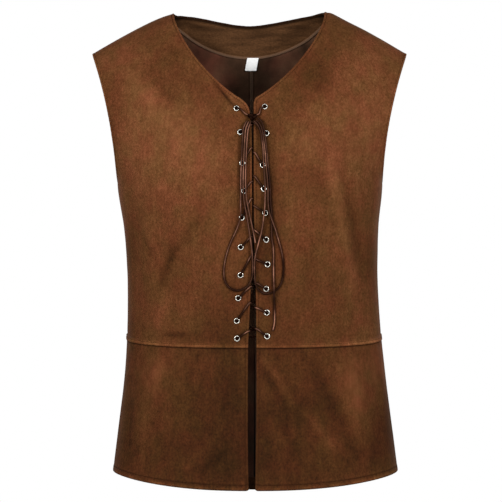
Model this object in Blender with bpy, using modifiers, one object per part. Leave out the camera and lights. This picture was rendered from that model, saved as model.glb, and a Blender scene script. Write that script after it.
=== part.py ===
"""A renaissance vest that laces up the front, filled out as it is when worn.

Metres, +Z up. The front faces -Y and the wearer's left is +X. The origin lies midway between
the two neck points, where the shoulder seams start.
"""
import math

import bmesh
import bpy
from mathutils import Vector
from mathutils.bvhtree import BVHTree

MM = 0.001

# Cloth, in metres
CLOTH = 2.0 * MM
FACING = 1.2 * MM
LINING = 1.0 * MM
LABEL = 0.6 * MM
SEAM = 0.3 * MM
BACKING_SPACE = 1.2 * MM

# The neck and the shoulders, measured from the middle of the body
NECK_HALF = 110.0 * MM
NECK_DEPTH = {1: 137.0 * MM, -1: 141.0 * MM}
NECK_CORNER = {1: 7.0 * MM, -1: 15.0 * MM}
NECK_BEND = 1.55
NECK_FALL = 0.8
BACK_NECK_DEPTH = 15.2 * MM
BACK_NECK_BEND = 1.5
SHOULDER_HALF = 229.0 * MM
SHOULDER_START = 90.0 * MM
SHOULDER_RISE = 5.5 * MM
SHOULDER_FALL = 67.5 * MM
SHOULDER_BEND = 1.25

# The arch over the shoulders: how far down it reaches, and how quickly it fills out
FRONT_ARCH = (300.0 * MM, 1.5)
BACK_ARCH = (260.0 * MM, 2.0)

# The armhole
UNDERARM = -247.0 * MM
UNDERARM_HALF = 193.0 * MM
ARMHOLE_FLARE = 36.2 * MM
ARM_SLOPE = 0.13
ARM_SPREAD = 0.72
ARM_EASE = 40.0 * MM

# The waist seam and the hem: height at the side seam, and how far they dip at the centre
WAIST = -476.0 * MM
WAIST_DIP = 8.6 * MM
WAIST_BEND = 0.8
HEM = -667.5 * MM
FRONT_HEM_DIP = 15.0 * MM
FRONT_HEM_BEND = 2.5
BACK_HEM_DIP = 45.0 * MM
BACK_HEM_BEND = 2.0
BAND_HEIGHT = 6.0 * MM
BAND_STEP = 1.3 * MM
BAND_PROUD = 1.2 * MM

# A cross-section is a rounded oval of this power
OVAL = 2.3

# Millimetres: height, half width, shift of the middle, front depth, back depth
BODY_COLUMNS = ("height", "half", "middle", "front", "back")
BODY = [
    (0.0, 193.0, -3.8, 124.0, 118.0),
    (-247.0, 193.0, -3.1, 124.0, 118.0),
    (-317.0, 185.0, -1.0, 124.0, 117.0),
    (-392.0, 182.2, 1.0, 118.0, 110.0),
    (-459.0, 184.0, 2.6, 114.0, 104.0),
    (-517.0, 188.6, 4.4, 115.0, 107.0),
    (-619.0, 200.9, 4.8, 121.0, 116.0),
    (-712.0, 213.0, 4.4, 126.0, 122.0),
]

# Millimetres: height, and half of the gap between the two front edges
GAP_COLUMNS = ("height", "gap")
FRONT_GAP = [
    (-120.0, 3.0),
    (-150.0, 2.6),
    (-200.0, 2.2),
    (-340.0, 2.2),
    (-417.0, 4.0),
    (-480.0, 5.8),
    (-570.0, 5.8),
    (-712.0, 3.6),
]

# Millimetres: face (-1 front, 1 back), ends (x, z, x, z), half width, height above the cloth
FOLDS = [
    (-1, -168.0, -268.0, -166.0, -440.0, 15.0, -3.0),
    (-1, -84.0, -330.0, -142.0, -410.0, 16.0, -2.6),
    (-1, 116.0, -266.0, 138.0, -402.0, 13.0, 2.4),
    (-1, 148.0, -296.0, 150.0, -384.0, 13.0, -2.6),
    (-1, 60.0, -515.0, 76.0, -655.0, 15.0, -2.6),
    (-1, -68.0, -525.0, -92.0, -655.0, 16.0, -2.4),
    (-1, 172.0, -492.0, 184.0, -612.0, 13.0, -3.2),
    (-1, -170.0, -492.0, -184.0, -612.0, 13.0, -3.2),
    (1, -96.0, -296.0, -128.0, -436.0, 17.0, -3.0),
    (1, 102.0, -288.0, 130.0, -442.0, 17.0, -3.2),
    (1, 20.0, -396.0, -14.0, -470.0, 15.0, -2.2),
    (1, -62.0, -512.0, -84.0, -690.0, 16.0, -2.8),
    (1, 52.0, -520.0, 66.0, -690.0, 16.0, -2.6),
    (1, 140.0, -505.0, 160.0, -650.0, 15.0, -3.0),
    (1, -142.0, -500.0, -160.0, -650.0, 15.0, -3.0),
]

# The facing behind the neck, the lining below it and the label on its lower seam
FACING_DEPTH = 58.0 * MM
FACING_HALF = 122.0 * MM
FACING_BEND = 2.1
LINING_ABOVE_HEM = 20.0 * MM
LINING_SLACK = 2.2 * MM
SLACK_HEIGHT = -440.0 * MM
SLACK_REACH = 75.0 * MM
LABEL_HALF = 10.2 * MM
LABEL_TOP = -58.6 * MM
LABEL_BOTTOM = -79.0 * MM
LABEL_LEAN = -3.6 * MM

# Shares of a panel's width and height where its rows and columns of points lie
FRONT_COLUMNS = (0.0, 0.12, 0.24, 0.36, 0.48, 0.6, 0.72, 0.84, 0.93, 0.985, 1.0)
BACK_COLUMNS = (0.0, 0.12, 0.23, 0.325, 0.385, 0.42, 0.53, 0.64, 0.75, 0.86, 0.94, 0.988, 1.0)
NECK_COLUMN = 0.42
FACING_COLUMNS = (0.0, 0.07, 0.14, 0.21, 0.275, 0.335, 0.385, 0.42)
LINING_COLUMNS = FACING_COLUMNS + (0.55, 0.68, 0.8, 0.9, 0.965)
SKIRT_ROWS = (0.0, 0.2, 0.4, 0.6, 0.8, 0.94, 1.0)
LOWER_ROWS = (0.16, 0.32, 0.48, 0.64, 0.8, 0.93)
UPPER_STEPS = 12
EDGE_STEPS = 4
CORNER_STEPS = 2
CORNER_SPREAD = 0.6
TOP_SUPPORT = 0.9972

# Eyelets, turned: bore, barrel and flange radius, and where they lie along the axis
BORE = 2.4 * MM
BARREL = 3.0 * MM
FLANGE = 4.9 * MM
FLANGE_TOP = 1.2 * MM
BARREL_END = -2.6 * MM
EYELET_STEPS = 12
HOLE_STEPS = 12

# Millimetres, top to bottom: the eyelets' x and z on the wearer's right and left
EYELETS = [
    (-21.8, -148.9, 17.9, -146.4),
    (-16.6, -182.8, 19.9, -184.6),
    (-13.6, -226.5, 14.9, -229.2),
    (-11.2, -265.5, 16.4, -262.6),
    (-14.2, -302.6, 18.2, -296.2),
    (-15.8, -343.6, 19.6, -333.2),
    (-16.1, -382.4, 21.4, -367.5),
    (-19.3, -414.6, 19.6, -401.9),
    (-21.4, -446.4, 20.6, -434.8),
    (-21.0, -471.0, 20.9, -467.8),
]
# Millimetres: the height where the two laces cross, between each pair of eyelets and the next
CROSSINGS = (-171.0, -208.0, -246.5, -280.5, -326.0, -361.5, -394.5, -424.2, -457.5)

LACE = 2.4 * MM
LACE_OVER = 1.7 * MM
LACE_UNDER = -4.0 * MM
LACE_PART = 1.4 * MM
CORD_SIDES = 2
CORD_SPACING = 3.0
KNOT_MIDDLE = (0.3, -162.2, 4.5)
KNOT_SIZE = (6.6 * MM, 3.4 * MM, 4.4 * MM)

# Millimetres: the bow's strands by hand, each point x, z and height above the cloth
LOOP_RIGHT = [
    (-7.6, -168.6, 5.4), (-10.3, -174.2, 5.4), (-12.4, -180.3, 5.3), (-13.3, -194.4, 5.2),
    (-14.0, -207.1, 5.2), (-14.8, -226.7, 5.3), (-15.4, -239.3, 5.3), (-15.7, -251.9, 5.0),
    (-15.7, -265.8, 4.8), (-15.8, -278.3, 4.6), (-15.8, -289.4, 5.0), (-15.8, -299.1, 5.3),
    (-18.2, -310.8, 4.6), (-23.3, -323.3, 2.6), (-28.2, -333.7, 1.9), (-33.2, -346.2, 1.6),
    (-37.3, -361.5, 1.6), (-39.2, -376.8, 1.6), (-37.8, -390.1, 1.6), (-33.1, -398.1, 1.6),
    (-26.3, -402.7, 1.6), (-19.2, -403.8, 1.9), (-12.4, -401.6, 3.0), (-5.4, -396.6, 4.5),
    (-1.4, -388.6, 4.8), (-0.6, -376.8, 4.8), (-0.6, -364.3, 4.8), (-1.0, -349.0, 4.8),
    (-2.1, -333.7, 4.8), (-3.7, -322.7, 4.8), (-5.7, -310.2, 4.9), (-7.5, -299.1, 5.0),
    (-9.6, -288.7, 5.0), (-11.4, -277.6, 5.0), (-12.2, -265.8, 5.2), (-12.3, -251.9, 5.2),
    (-12.1, -239.3, 5.3), (-11.6, -226.7, 5.3), (-10.8, -207.1, 5.3), (-10.1, -194.4, 5.3),
    (-9.0, -180.8, 5.4), (-6.9, -174.6, 5.4), (-4.7, -169.4, 5.4),
]
END_RIGHT = [
    (-1.7, -169.0, 5.4), (-3.7, -175.3, 5.4), (-5.6, -181.4, 5.4), (-6.9, -194.4, 5.3),
    (-7.7, -207.1, 5.3), (-8.5, -226.7, 5.3), (-9.0, -239.3, 5.3), (-9.1, -251.9, 5.3),
    (-8.6, -265.8, 5.3), (-7.6, -277.6, 5.1), (-5.6, -288.7, 4.9), (-3.2, -299.8, 4.9),
    (-0.8, -311.0, 4.9), (1.6, -322.3, 4.8), (3.4, -331.0, 4.8), (4.4, -337.4, 4.7),
]
LOOP_LEFT = [
    (5.6, -167.6, 5.4), (9.9, -171.0, 5.5), (13.9, -176.2, 5.7), (16.8, -181.6, 5.8),
    (18.6, -188.2, 5.6), (19.0, -197.2, 5.2), (19.1, -208.5, 4.9), (19.2, -226.7, 4.6), (20.2, -239.3, 4.6),
    (21.3, -251.8, 4.6), (21.9, -264.4, 4.6), (21.9, -276.9, 4.6), (22.6, -288.7, 4.7),
    (24.3, -297.2, 4.8), (26.9, -304.9, 4.8), (29.6, -312.3, 4.3), (32.4, -319.9, 3.0),
    (34.9, -328.2, 2.2), (37.8, -337.9, 1.7), (40.4, -347.6, 1.6), (42.5, -358.7, 1.6),
    (43.4, -370.6, 1.6), (42.9, -383.1, 1.6), (40.5, -393.5, 1.6), (35.9, -401.0, 1.6),
    (29.6, -405.7, 1.6), (22.7, -407.8, 2.4), (16.0, -407.4, 2.9), (10.2, -404.1, 3.7),
    (6.2, -398.5, 4.6), (4.1, -390.7, 4.8), (3.7, -376.8, 4.8), (3.6, -364.3, 4.8),
    (4.7, -353.9, 4.8), (7.3, -343.5, 4.9), (10.1, -333.1, 5.0), (12.7, -323.4, 5.0),
    (14.6, -312.3, 5.2), (16.0, -301.2, 5.4), (17.2, -290.8, 5.4), (17.8, -277.6, 5.2),
    (18.0, -264.4, 5.2), (17.6, -251.9, 5.2), (16.7, -239.3, 5.3), (15.9, -226.7, 5.3),
    (15.8, -208.5, 5.3), (15.5, -197.2, 5.3), (14.6, -188.2, 5.3), (12.4, -180.6, 5.3),
    (9.2, -175.4, 5.3), (6.0, -171.6, 5.3), (2.4, -168.6, 5.4),
]
END_LEFT = [
    (8.7, -164.8, 5.4), (13.2, -168.4, 5.4), (17.3, -173.6, 5.3), (20.2, -179.6, 5.3),
    (21.8, -187.0, 5.2), (22.1, -197.0, 4.4), (22.0, -210.4, 3.2), (22.2, -226.7, 2.0),
    (23.2, -239.3, 1.8), (24.3, -251.8, 1.8), (25.0, -264.4, 1.8), (25.2, -276.9, 1.8),
    (26.2, -288.7, 1.7), (27.3, -299.0, 1.7), (27.5, -309.0, 1.7),
    (27.0, -320.0, 1.7), (27.3, -331.0, 1.7), (29.2, -343.6, 1.7), (29.7, -356.0, 1.7),
    (29.7, -369.5, 1.7), (29.8, -383.0, 1.8), (30.0, -391.5, 2.6), (30.2, -398.5, 4.2),
    (30.3, -405.7, 4.7), (30.4, -412.8, 4.2), (30.8, -420.0, 2.6), (31.2, -430.0, 1.7),
    (31.4, -441.0, 1.7), (30.8, -451.0, 1.7), (28.8, -459.6, 1.7),
]


def table_value(table, columns, name, height):
    """Reads a named column of a table, smoothly, at a height in metres."""
    column = columns.index(name)
    at = height / MM
    at = min(max(at, table[-1][0]), table[0][0])
    index = 0
    while index < len(table) - 2 and at < table[index + 1][0]:
        index += 1
    upper, lower = table[index], table[index + 1]
    above = table[max(index - 1, 0)]
    below = table[min(index + 2, len(table) - 1)]
    step = upper[0] - lower[0]
    part = (at - lower[0]) / step
    slope_low = (upper[column] - below[column]) / (upper[0] - below[0]) * step
    slope_up = (above[column] - lower[column]) / (above[0] - lower[0]) * step
    low, up = lower[column], upper[column]
    bend = 2 * low - 2 * up + slope_low + slope_up
    swing = -3 * low + 3 * up - 2 * slope_low - slope_up
    return (bend * part ** 3 + swing * part ** 2 + slope_low * part + low) * MM


def body(name, height):
    return table_value(BODY, BODY_COLUMNS, name, height)


def gap(height):
    return table_value(FRONT_GAP, GAP_COLUMNS, "gap", height)


def half_width(height):
    """Half the width of the body, which goes on widening above the underarm."""
    if height <= UNDERARM:
        return body("half", height)
    rise = height - UNDERARM
    return UNDERARM_HALF + ARM_SLOPE * rise + ARM_SPREAD * rise ** 2 / (rise + ARM_EASE)


def shoulder_line(out):
    """Height of the shoulder seam at a distance out from the middle of the body."""
    share = max(0.0, (abs(out) - SHOULDER_START) / (SHOULDER_HALF - SHOULDER_START))
    return SHOULDER_RISE - SHOULDER_FALL * share ** SHOULDER_BEND


def fold_height(face, x, z):
    """Height of the soft troughs and ridges above the smooth cloth."""
    total = 0.0
    for side, x1, z1, x2, z2, half, height in FOLDS:
        if side != face:
            continue
        start, run = Vector((x1, z1)) * MM, Vector((x2 - x1, z2 - z1)) * MM
        offset = Vector((x, z)) - start
        along = offset.dot(run) / run.length_squared
        if 0.0 < along < 1.0:
            across = (offset - run * along).length / (half * MM)
            total += height * MM * math.exp(-across ** 2) * math.sin(math.pi * along) ** 0.7
    return total


def seam_ease(out, width):
    """1 over a panel and 0 at the side seam, so that folds run out before the seam."""
    return min(1.0, max(0.0, (1.0 - out / width) * 14.0))


def body_point(face, out, z):
    """A point of the cloth's outer surface: face -1 front or 1 back, out from the middle."""
    drop = max(0.0, shoulder_line(out) - z)
    reach, power = FRONT_ARCH if face < 0 else BACK_ARCH
    arch = math.sqrt(max(0.0, 1.0 - max(0.0, 1.0 - drop / reach) ** power))
    width = half_width(z)
    across = max(0.0, 1.0 - min(1.0, abs(out) / width) ** OVAL) ** (1.0 / OVAL)
    depth = body("front" if face < 0 else "back", z) * arch * across
    x = out + body("middle", z)
    depth += fold_height(face, x, z) * seam_ease(abs(out), width)
    return Vector((x, face * (depth + SEAM / 2), z))


def body_normal(face, out, z):
    step = 0.5 * MM
    along = body_point(face, out + step, z) - body_point(face, out - step, z)
    upward = body_point(face, out, z + step) - body_point(face, out, z - step)
    normal = along.cross(upward).normalized()
    return -normal if normal.y * face < 0 else normal


def lifted(face, x, z, lift):
    """A point at x and z on the cloth, moved out from it by lift."""
    out = x - body("middle", z)
    return body_point(face, out, z) + body_normal(face, out, z) * lift


def walk(points, share):
    """The point at a share of the length of a line through points."""
    lengths = [(end - start).length for start, end in zip(points, points[1:])]
    left = share * sum(lengths)
    for start, end, length in zip(points, points[1:], lengths):
        if left <= length:
            return start.lerp(end, left / length)
        left -= length
    return points[-1]


def plain(share):
    return share


def coons(bottom, top, inner, outer, columns, rows, ease=plain):
    """Fills a patch between four edges. Each edge gives (out, z) for a share from 0 to 1."""
    grid = []
    for row in rows:
        line = []
        weight = ease(row)
        for column in columns:
            ruled = inner(row).lerp(outer(row), column) + bottom(column).lerp(top(column), weight)
            low = bottom(0.0).lerp(bottom(1.0), column)
            high = top(0.0).lerp(top(1.0), column)
            line.append(ruled - low.lerp(high, weight))
        grid.append(line)
    return grid


def oval_row(start, height):
    """Points across half a cross-section, from out = start to the side seam."""
    def row(share):
        width = half_width(height(0.0))
        angle = math.pi / 2 * share
        out = start + (width - start) * math.sin(angle) ** (2.0 / OVAL)
        return Vector((out, height(math.cos(angle) ** (2.0 / OVAL))))
    return row


def waist_height(nearness):
    return WAIST - WAIST_DIP * nearness ** WAIST_BEND


def front_hem_height(nearness):
    return HEM - FRONT_HEM_DIP * nearness ** FRONT_HEM_BEND


def back_hem_height(nearness):
    return HEM - BACK_HEM_DIP * nearness ** BACK_HEM_BEND


def side_line(low, high):
    """The side seam between two heights."""
    def edge(share):
        z = low + (high - low) * share
        return Vector((half_width(z), z))
    return edge


def eased(share):
    """Crowds the rows towards both ends, where the armhole and the shoulder bend most."""
    return (1.0 - math.cos(math.pi * share)) / 2


def crowded(share):
    """The eased shares of whole rows, with straight steps between them."""
    place = share * UPPER_STEPS
    row = min(int(place), UPPER_STEPS - 1)
    low, high = eased(row / UPPER_STEPS), eased((row + 1) / UPPER_STEPS)
    return low + (high - low) * (place - row)


def armhole(share):
    top = shoulder_line(SHOULDER_HALF)
    z = UNDERARM + (top - UNDERARM) * crowded(share)
    flare = ARMHOLE_FLARE * ((z - UNDERARM) / (top - UNDERARM)) ** 2
    return Vector((UNDERARM_HALF + flare, z))


def shoulder_seam(share):
    out = NECK_HALF + (SHOULDER_HALF - NECK_HALF) * share
    return Vector((out, shoulder_line(out)))


def front_edge(side, z):
    """The front edge's distance from the middle of the body, on the wearer's side given."""
    return gap(z) - side * body("middle", z)


def front_neck(side, z):
    share = min(1.0, max(0.0, -z / NECK_DEPTH[side]))
    return NECK_HALF * (1.0 - share ** NECK_BEND) ** NECK_FALL


def front_opening(side):
    """The front edge above the underarm, its rounded corner and the neck, a point a row."""
    depth, corner = NECK_DEPTH[side], NECK_CORNER[side]
    edge_end = -depth - corner
    start = Vector((front_edge(side, edge_end), edge_end))
    turn = Vector((front_edge(side, -depth), -depth))
    neck_z = -depth + corner * CORNER_SPREAD
    finish = Vector((front_neck(side, neck_z), neck_z))
    points = []
    for row in range(EDGE_STEPS):
        z = UNDERARM + (edge_end - UNDERARM) * row / EDGE_STEPS
        points.append(Vector((front_edge(side, z), z)))
    for row in range(CORNER_STEPS):
        part = row / CORNER_STEPS
        points.append(start.lerp(turn, part).lerp(turn.lerp(finish, part), part))
    neck_steps = UPPER_STEPS - EDGE_STEPS - CORNER_STEPS
    for row in range(neck_steps):
        z = neck_z * (1.0 - math.sin(math.pi / 2 * row / neck_steps))
        points.append(Vector((front_neck(side, z), z)))
    points.append(shoulder_seam(0.0))

    def edge(share):
        place = share * UPPER_STEPS
        row = min(int(place), UPPER_STEPS - 1)
        return points[row].lerp(points[row + 1], place - row)

    return edge


def upper_rows():
    rows = [step / UPPER_STEPS for step in range(UPPER_STEPS)]
    return rows + [TOP_SUPPORT, 1.0]


def band_rows(height):
    """Shares of a panel's height where the waist band ends and where it steps down."""
    return (BAND_HEIGHT / height, (BAND_HEIGHT + BAND_STEP) / height)


def raise_band(face, out, z, nearness):
    """The lapped band along the waist seam stands proud of the cloth."""
    point = body_point(face, out, z)
    height = z - waist_height(nearness) - SEAM / 2
    if height < BAND_HEIGHT + BAND_STEP / 2:
        point += body_normal(face, out, z) * BAND_PROUD
    return point


def nearness(out, z):
    """1 at the centre of the front or the back, and 0 at the side seam."""
    width = half_width(z)
    return max(0.0, 1.0 - min(1.0, abs(out) / width) ** OVAL) ** (1.0 / OVAL)


def bodice_rows(start, opening, columns):
    """Rows of (out, z) from the waist seam to the shoulder, for one half."""
    waist = oval_row(start(WAIST), lambda near: waist_height(near) + SEAM / 2)
    underarm = oval_row(start(UNDERARM), lambda near: UNDERARM)
    low, high = waist(0.0), underarm(0.0)

    def centre(share):
        z = low.y + (high.y - low.y) * share
        return Vector((start(z), z))

    side = side_line(waist(1.0).y, UNDERARM)
    rows = (0.0,) + band_rows(high.y - low.y) + LOWER_ROWS
    lower = coons(waist, underarm, centre, side, columns, rows)
    upper = coons(underarm, opening["top"], opening["inner"], armhole, columns, upper_rows(),
                  crowded)
    return lower + upper


def level_shoulder(points):
    """Sets the row next to the shoulder seam level with it, so the two edges face each other."""
    for point, end in zip(points[-2], points[-1]):
        if abs(end.y) < SEAM:
            point.x, point.z = end.x, end.z
    return points


def grid_faces(rows, outward):
    """The triangles of a grid of points, row by row from the bottom."""
    width = len(rows[0])
    faces = []
    for row in range(len(rows) - 1):
        for column in range(width - 1):
            low, high = row * width + column, (row + 1) * width + column
            for face in ((low, low + 1, high + 1), (low, high + 1, high)):
                faces.append(face if outward else face[::-1])
    return faces


def cloth_object(name, rows, colour, thickness, outward):
    """Makes one piece of cloth: an open grid of points with a Solidify wall inside it."""
    mesh = bpy.data.meshes.new(name)
    mesh.from_pydata([tuple(point) for line in rows for point in line], [],
                     grid_faces(rows, outward))
    piece = new_object(name, mesh, colour)
    wall = piece.modifiers.new("wall", "SOLIDIFY")
    wall.thickness = thickness
    wall.offset = -1.0
    return piece


def new_object(name, mesh, colour):
    piece = bpy.data.objects.new(name, mesh)
    PARTS.objects.link(piece)
    mesh.materials.append(material(name, *colour))
    for polygon in mesh.polygons:
        polygon.use_smooth = True
    return piece


def material(name, red, green, blue, roughness, metallic):
    result = bpy.data.materials.new(name)
    result.use_nodes = True
    shader = result.node_tree.nodes["Principled BSDF"]
    shader.inputs["Base Color"].default_value = (red, green, blue, 1.0)
    shader.inputs["Roughness"].default_value = roughness
    shader.inputs["Metallic"].default_value = metallic
    return result


SUEDE = (0.162, 0.058, 0.020, 0.9, 0.0)
SUEDE_SKIRT = (0.080, 0.029, 0.010, 0.9, 0.0)
FACING_CLOTH = (0.102, 0.042, 0.016, 0.85, 0.0)
LINING_CLOTH = (0.042, 0.017, 0.010, 0.6, 0.0)
LABEL_CLOTH = (0.80, 0.80, 0.78, 0.7, 0.0)
NICKEL = (0.72, 0.70, 0.66, 0.25, 1.0)
LACE_CORD = (0.070, 0.022, 0.016, 0.45, 0.0)


def front_panel(name, side):
    """One front: side is 1 for the wearer's left and -1 for the right."""
    opening = {"top": shoulder_seam, "inner": front_opening(side)}
    rows = bodice_rows(lambda z: front_edge(side, z), opening, FRONT_COLUMNS)
    points = [[raise_band(-1, side * spot.x, spot.y, nearness(spot.x, spot.y)) for spot in line]
              for line in rows]
    panel = cloth_object(name, level_shoulder(points), SUEDE, CLOTH, side > 0)
    holes = hole_cutter(name + "_holes", side)
    cut = panel.modifiers.new("eyelet holes", "BOOLEAN")
    cut.operation = "DIFFERENCE"
    cut.object = holes
    return panel


def eyelet_spots(side):
    if side > 0:
        return [(x * MM, z * MM) for _, _, x, z in EYELETS]
    return [(x * MM, z * MM) for x, z, _, _ in EYELETS]


def eyelet_frame(spot):
    """Where an eyelet sits, and the turn that points its axis out of the cloth."""
    x, z = spot
    out = x - body("middle", z)
    turn = body_normal(-1, out, z).to_track_quat("Z", "Y").to_matrix().to_4x4()
    turn.translation = body_point(-1, out, z)
    return turn


def hole_cutter(name, side):
    """The round holes of one front, as one cutter."""
    shape = bmesh.new()
    depth = 4.0 * CLOTH
    for spot in eyelet_spots(side):
        bmesh.ops.create_cone(shape, cap_ends=True, segments=HOLE_STEPS, radius1=BARREL + SEAM,
                              radius2=BARREL + SEAM, depth=depth, matrix=eyelet_frame(spot))
    mesh = bpy.data.meshes.new(name)
    shape.to_mesh(mesh)
    shape.free()
    cutter = bpy.data.objects.new(name, mesh)
    CUTTERS.objects.link(cutter)
    cutter.hide_render = True
    cutter.display_type = "WIRE"
    return cutter


def back_top(share):
    """The back's upper edge for one half: the neck to its corner, then the shoulder seam."""
    if share <= NECK_COLUMN:
        out = NECK_HALF * share / NECK_COLUMN
        return Vector((out, back_neck(out)))
    return shoulder_seam((share - NECK_COLUMN) / (1.0 - NECK_COLUMN))


def back_neck(out):
    fall = 1.0 - (abs(out) / NECK_HALF) ** BACK_NECK_BEND
    return shoulder_line(NECK_HALF) - BACK_NECK_DEPTH * fall


def back_centre(share):
    top = back_neck(0.0)
    return Vector((0.0, UNDERARM + (top - UNDERARM) * crowded(share)))


def mirrored(rows, point):
    """Both halves of the back, left to right, from the rows of one half."""
    lines = []
    for line in rows:
        right = [point(-spot.x, spot.y) for spot in reversed(line[1:])]
        left = [point(spot.x, spot.y) for spot in line]
        lines.append(right + left)
    return lines


def back_panel():
    opening = {"top": back_top, "inner": back_centre}
    rows = bodice_rows(lambda z: 0.0, opening, BACK_COLUMNS)
    points = mirrored(rows, lambda out, z: raise_band(1, out, z, nearness(out, z)))
    cloth_object("back", level_shoulder(points), SUEDE, CLOTH, False)
    return points


def skirt_rows(start, hem_height, columns):
    waist = oval_row(start(WAIST), lambda near: waist_height(near) - SEAM / 2)
    hem = oval_row(start(HEM), hem_height)
    low, high = hem(0.0), waist(0.0)

    def centre(share):
        z = low.y + (high.y - low.y) * share
        return Vector((start(z), z))

    return coons(hem, waist, centre, side_line(hem(1.0).y, waist(1.0).y), columns, SKIRT_ROWS)


def skirt_front(name, side):
    rows = skirt_rows(lambda z: front_edge(side, z), front_hem_height, FRONT_COLUMNS)
    points = [[body_point(-1, side * spot.x, spot.y) for spot in line] for line in rows]
    cloth_object(name, points, SUEDE_SKIRT, CLOTH, side > 0)


def skirt_back():
    rows = skirt_rows(lambda z: 0.0, back_hem_height, BACK_COLUMNS)
    points = mirrored(rows, lambda out, z: body_point(1, out, z))
    cloth_object("skirt_back", points, SUEDE_SKIRT, CLOTH, False)
    return points


def surface_of(rows):
    """The faces of one grid of points, to find the nearest place on them."""
    return BVHTree.FromPolygons([point for line in rows for point in line],
                                grid_faces(rows, False))


def lining_depth(z):
    """How far the lining lies in from the outer cloth. It hangs free of the hollow back."""
    slack = LINING_SLACK * math.exp(-((z - SLACK_HEIGHT) / SLACK_REACH) ** 2)
    return CLOTH + BACKING_SPACE + slack


def inside_back(out, z, depth):
    """A point inside the back, depth in from its outer faces."""
    point = body_point(1, out, z)
    normal = body_normal(1, out, z)
    places = [surface.find_nearest(point) for surface in BACK_SURFACES]
    nearest = min(places, key=lambda place: place[3])[0]
    return point + normal * ((nearest - point).dot(normal) - depth)


def facing_edge(out):
    """The facing's lower edge, which runs from shoulder seam to shoulder seam."""
    foot = back_neck(0.0) - (FACING_DEPTH - BACK_NECK_DEPTH)
    rise = shoulder_line(FACING_HALF) - foot
    return foot + rise * (abs(out) / FACING_HALF) ** FACING_BEND


def neck_facing():
    """The shaped strip of the outer cloth inside the back neck."""
    rows = 5
    inset = 1.0 * MM
    columns = [-column for column in FACING_COLUMNS[:0:-1]] + list(FACING_COLUMNS)
    points = []
    for row in range(rows + 1):
        part = row / rows
        line = []
        for column in columns:
            share = column / NECK_COLUMN
            low_out = share * FACING_HALF
            top_out = share * (NECK_HALF - inset)
            low = Vector((low_out, facing_edge(low_out) - inset / 2))
            top = Vector((top_out, back_neck(top_out) - inset))
            spot = low.lerp(top, part)
            line.append(inside_back(spot.x, spot.y, CLOTH + BACKING_SPACE))
        points.append(line)
    cloth_object("neck_facing", points, FACING_CLOTH, FACING, False)


def lining_top(share):
    """The lining's upper edge: below the facing, then along the shoulder seam."""
    if share <= NECK_COLUMN:
        out = FACING_HALF * share / NECK_COLUMN
        return Vector((out, facing_edge(out) - 1.6 * MM))
    part = (share - NECK_COLUMN) / (1.0 - NECK_COLUMN)
    out = FACING_HALF + (SHOULDER_HALF - 3.0 * MM - FACING_HALF) * part
    return Vector((out, shoulder_line(out) - 2.0 * MM))


def back_lining(name, side):
    """Half of the back's lining, from the facing to just above the hem."""
    inset = 3.0 * MM
    start = SEAM / 2
    top = lining_top(0.0).y

    def hem(near):
        return back_hem_height(near) + LINING_ABOVE_HEM

    hem_row = oval_row(start, hem)
    underarm = oval_row(start, lambda near: UNDERARM)

    def inner(low, high):
        return lambda share: Vector((start, low + (high - low) * share))

    side_seam = side_line(hem_row(1.0).y, UNDERARM)
    lower = coons(hem_row, underarm, inner(hem_row(0.0).y, UNDERARM), side_seam,
                  LINING_COLUMNS, (0.0, 0.17, 0.34, 0.5, 0.66, 0.83))

    def arm(share):
        spot = armhole(share)
        return Vector((spot.x - inset * eased(min(1.0, share * 4)), spot.y))

    rise = inner(UNDERARM, top)
    upper = coons(underarm, lining_top, lambda share: rise(eased(share)), arm,
                  LINING_COLUMNS, [step / 8 for step in range(9)], eased)
    points = [[inside_back(side * spot.x, spot.y, lining_depth(spot.y)) for spot in line]
              for line in lower + upper]
    cloth_object(name, points, LINING_CLOTH, LINING, side < 0)


def label():
    """The blank label that hangs from the facing's lower seam."""
    depth = CLOTH + BACKING_SPACE + FACING + SEAM * 3
    points = []
    for z, lean in ((LABEL_BOTTOM, LABEL_LEAN), (LABEL_TOP, 0.0)):
        line = []
        for out in (-LABEL_HALF, 0.0, LABEL_HALF):
            line.append(inside_back(out + lean - body("middle", z), z, depth))
        points.append(line)
    cloth_object("label", points, LABEL_CLOTH, LABEL, False)


def eyelet_mesh():
    """An eyelet's profile, turned about its axis by a Screw modifier."""
    mesh = bpy.data.meshes.new("eyelet")
    profile = [(FLANGE, SEAM), (BARREL, SEAM), (BARREL, BARREL_END), (BORE, BARREL_END),
               (BARREL, FLANGE_TOP)]
    edges = [(index, (index + 1) % len(profile)) for index in range(len(profile))]
    mesh.from_pydata([(radius, 0.0, height) for radius, height in profile], edges, [])
    return mesh


def eyelets():
    for side, word in ((-1, "right"), (1, "left")):
        for number, spot in enumerate(eyelet_spots(side), 1):
            piece = new_object(f"eyelet_{word}_{number:02d}", eyelet_mesh(), NICKEL)
            piece.matrix_world = eyelet_frame(spot)
            turn = piece.modifiers.new("turn", "SCREW")
            turn.axis = "Z"
            turn.steps = EYELET_STEPS
            turn.render_steps = EYELET_STEPS
            turn.use_merge_vertices = True
            turn.merge_threshold = 0.01 * MM


def smooth_curve(points, steps):
    """Reads a smooth curve through the points, with the number of steps given between two."""
    result = []
    last = len(points) - 1
    for index in range(last):
        before = points[max(index - 1, 0)]
        start, end = points[index], points[index + 1]
        after = points[min(index + 2, last)]
        for step in range(steps):
            part = step / steps
            result.append(0.5 * (2 * start + (end - before) * part
                                 + (2 * before - 5 * start + 4 * end - after) * part ** 2
                                 + (3 * start - before - 3 * end + after) * part ** 3))
    return result + [points[-1]]


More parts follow.
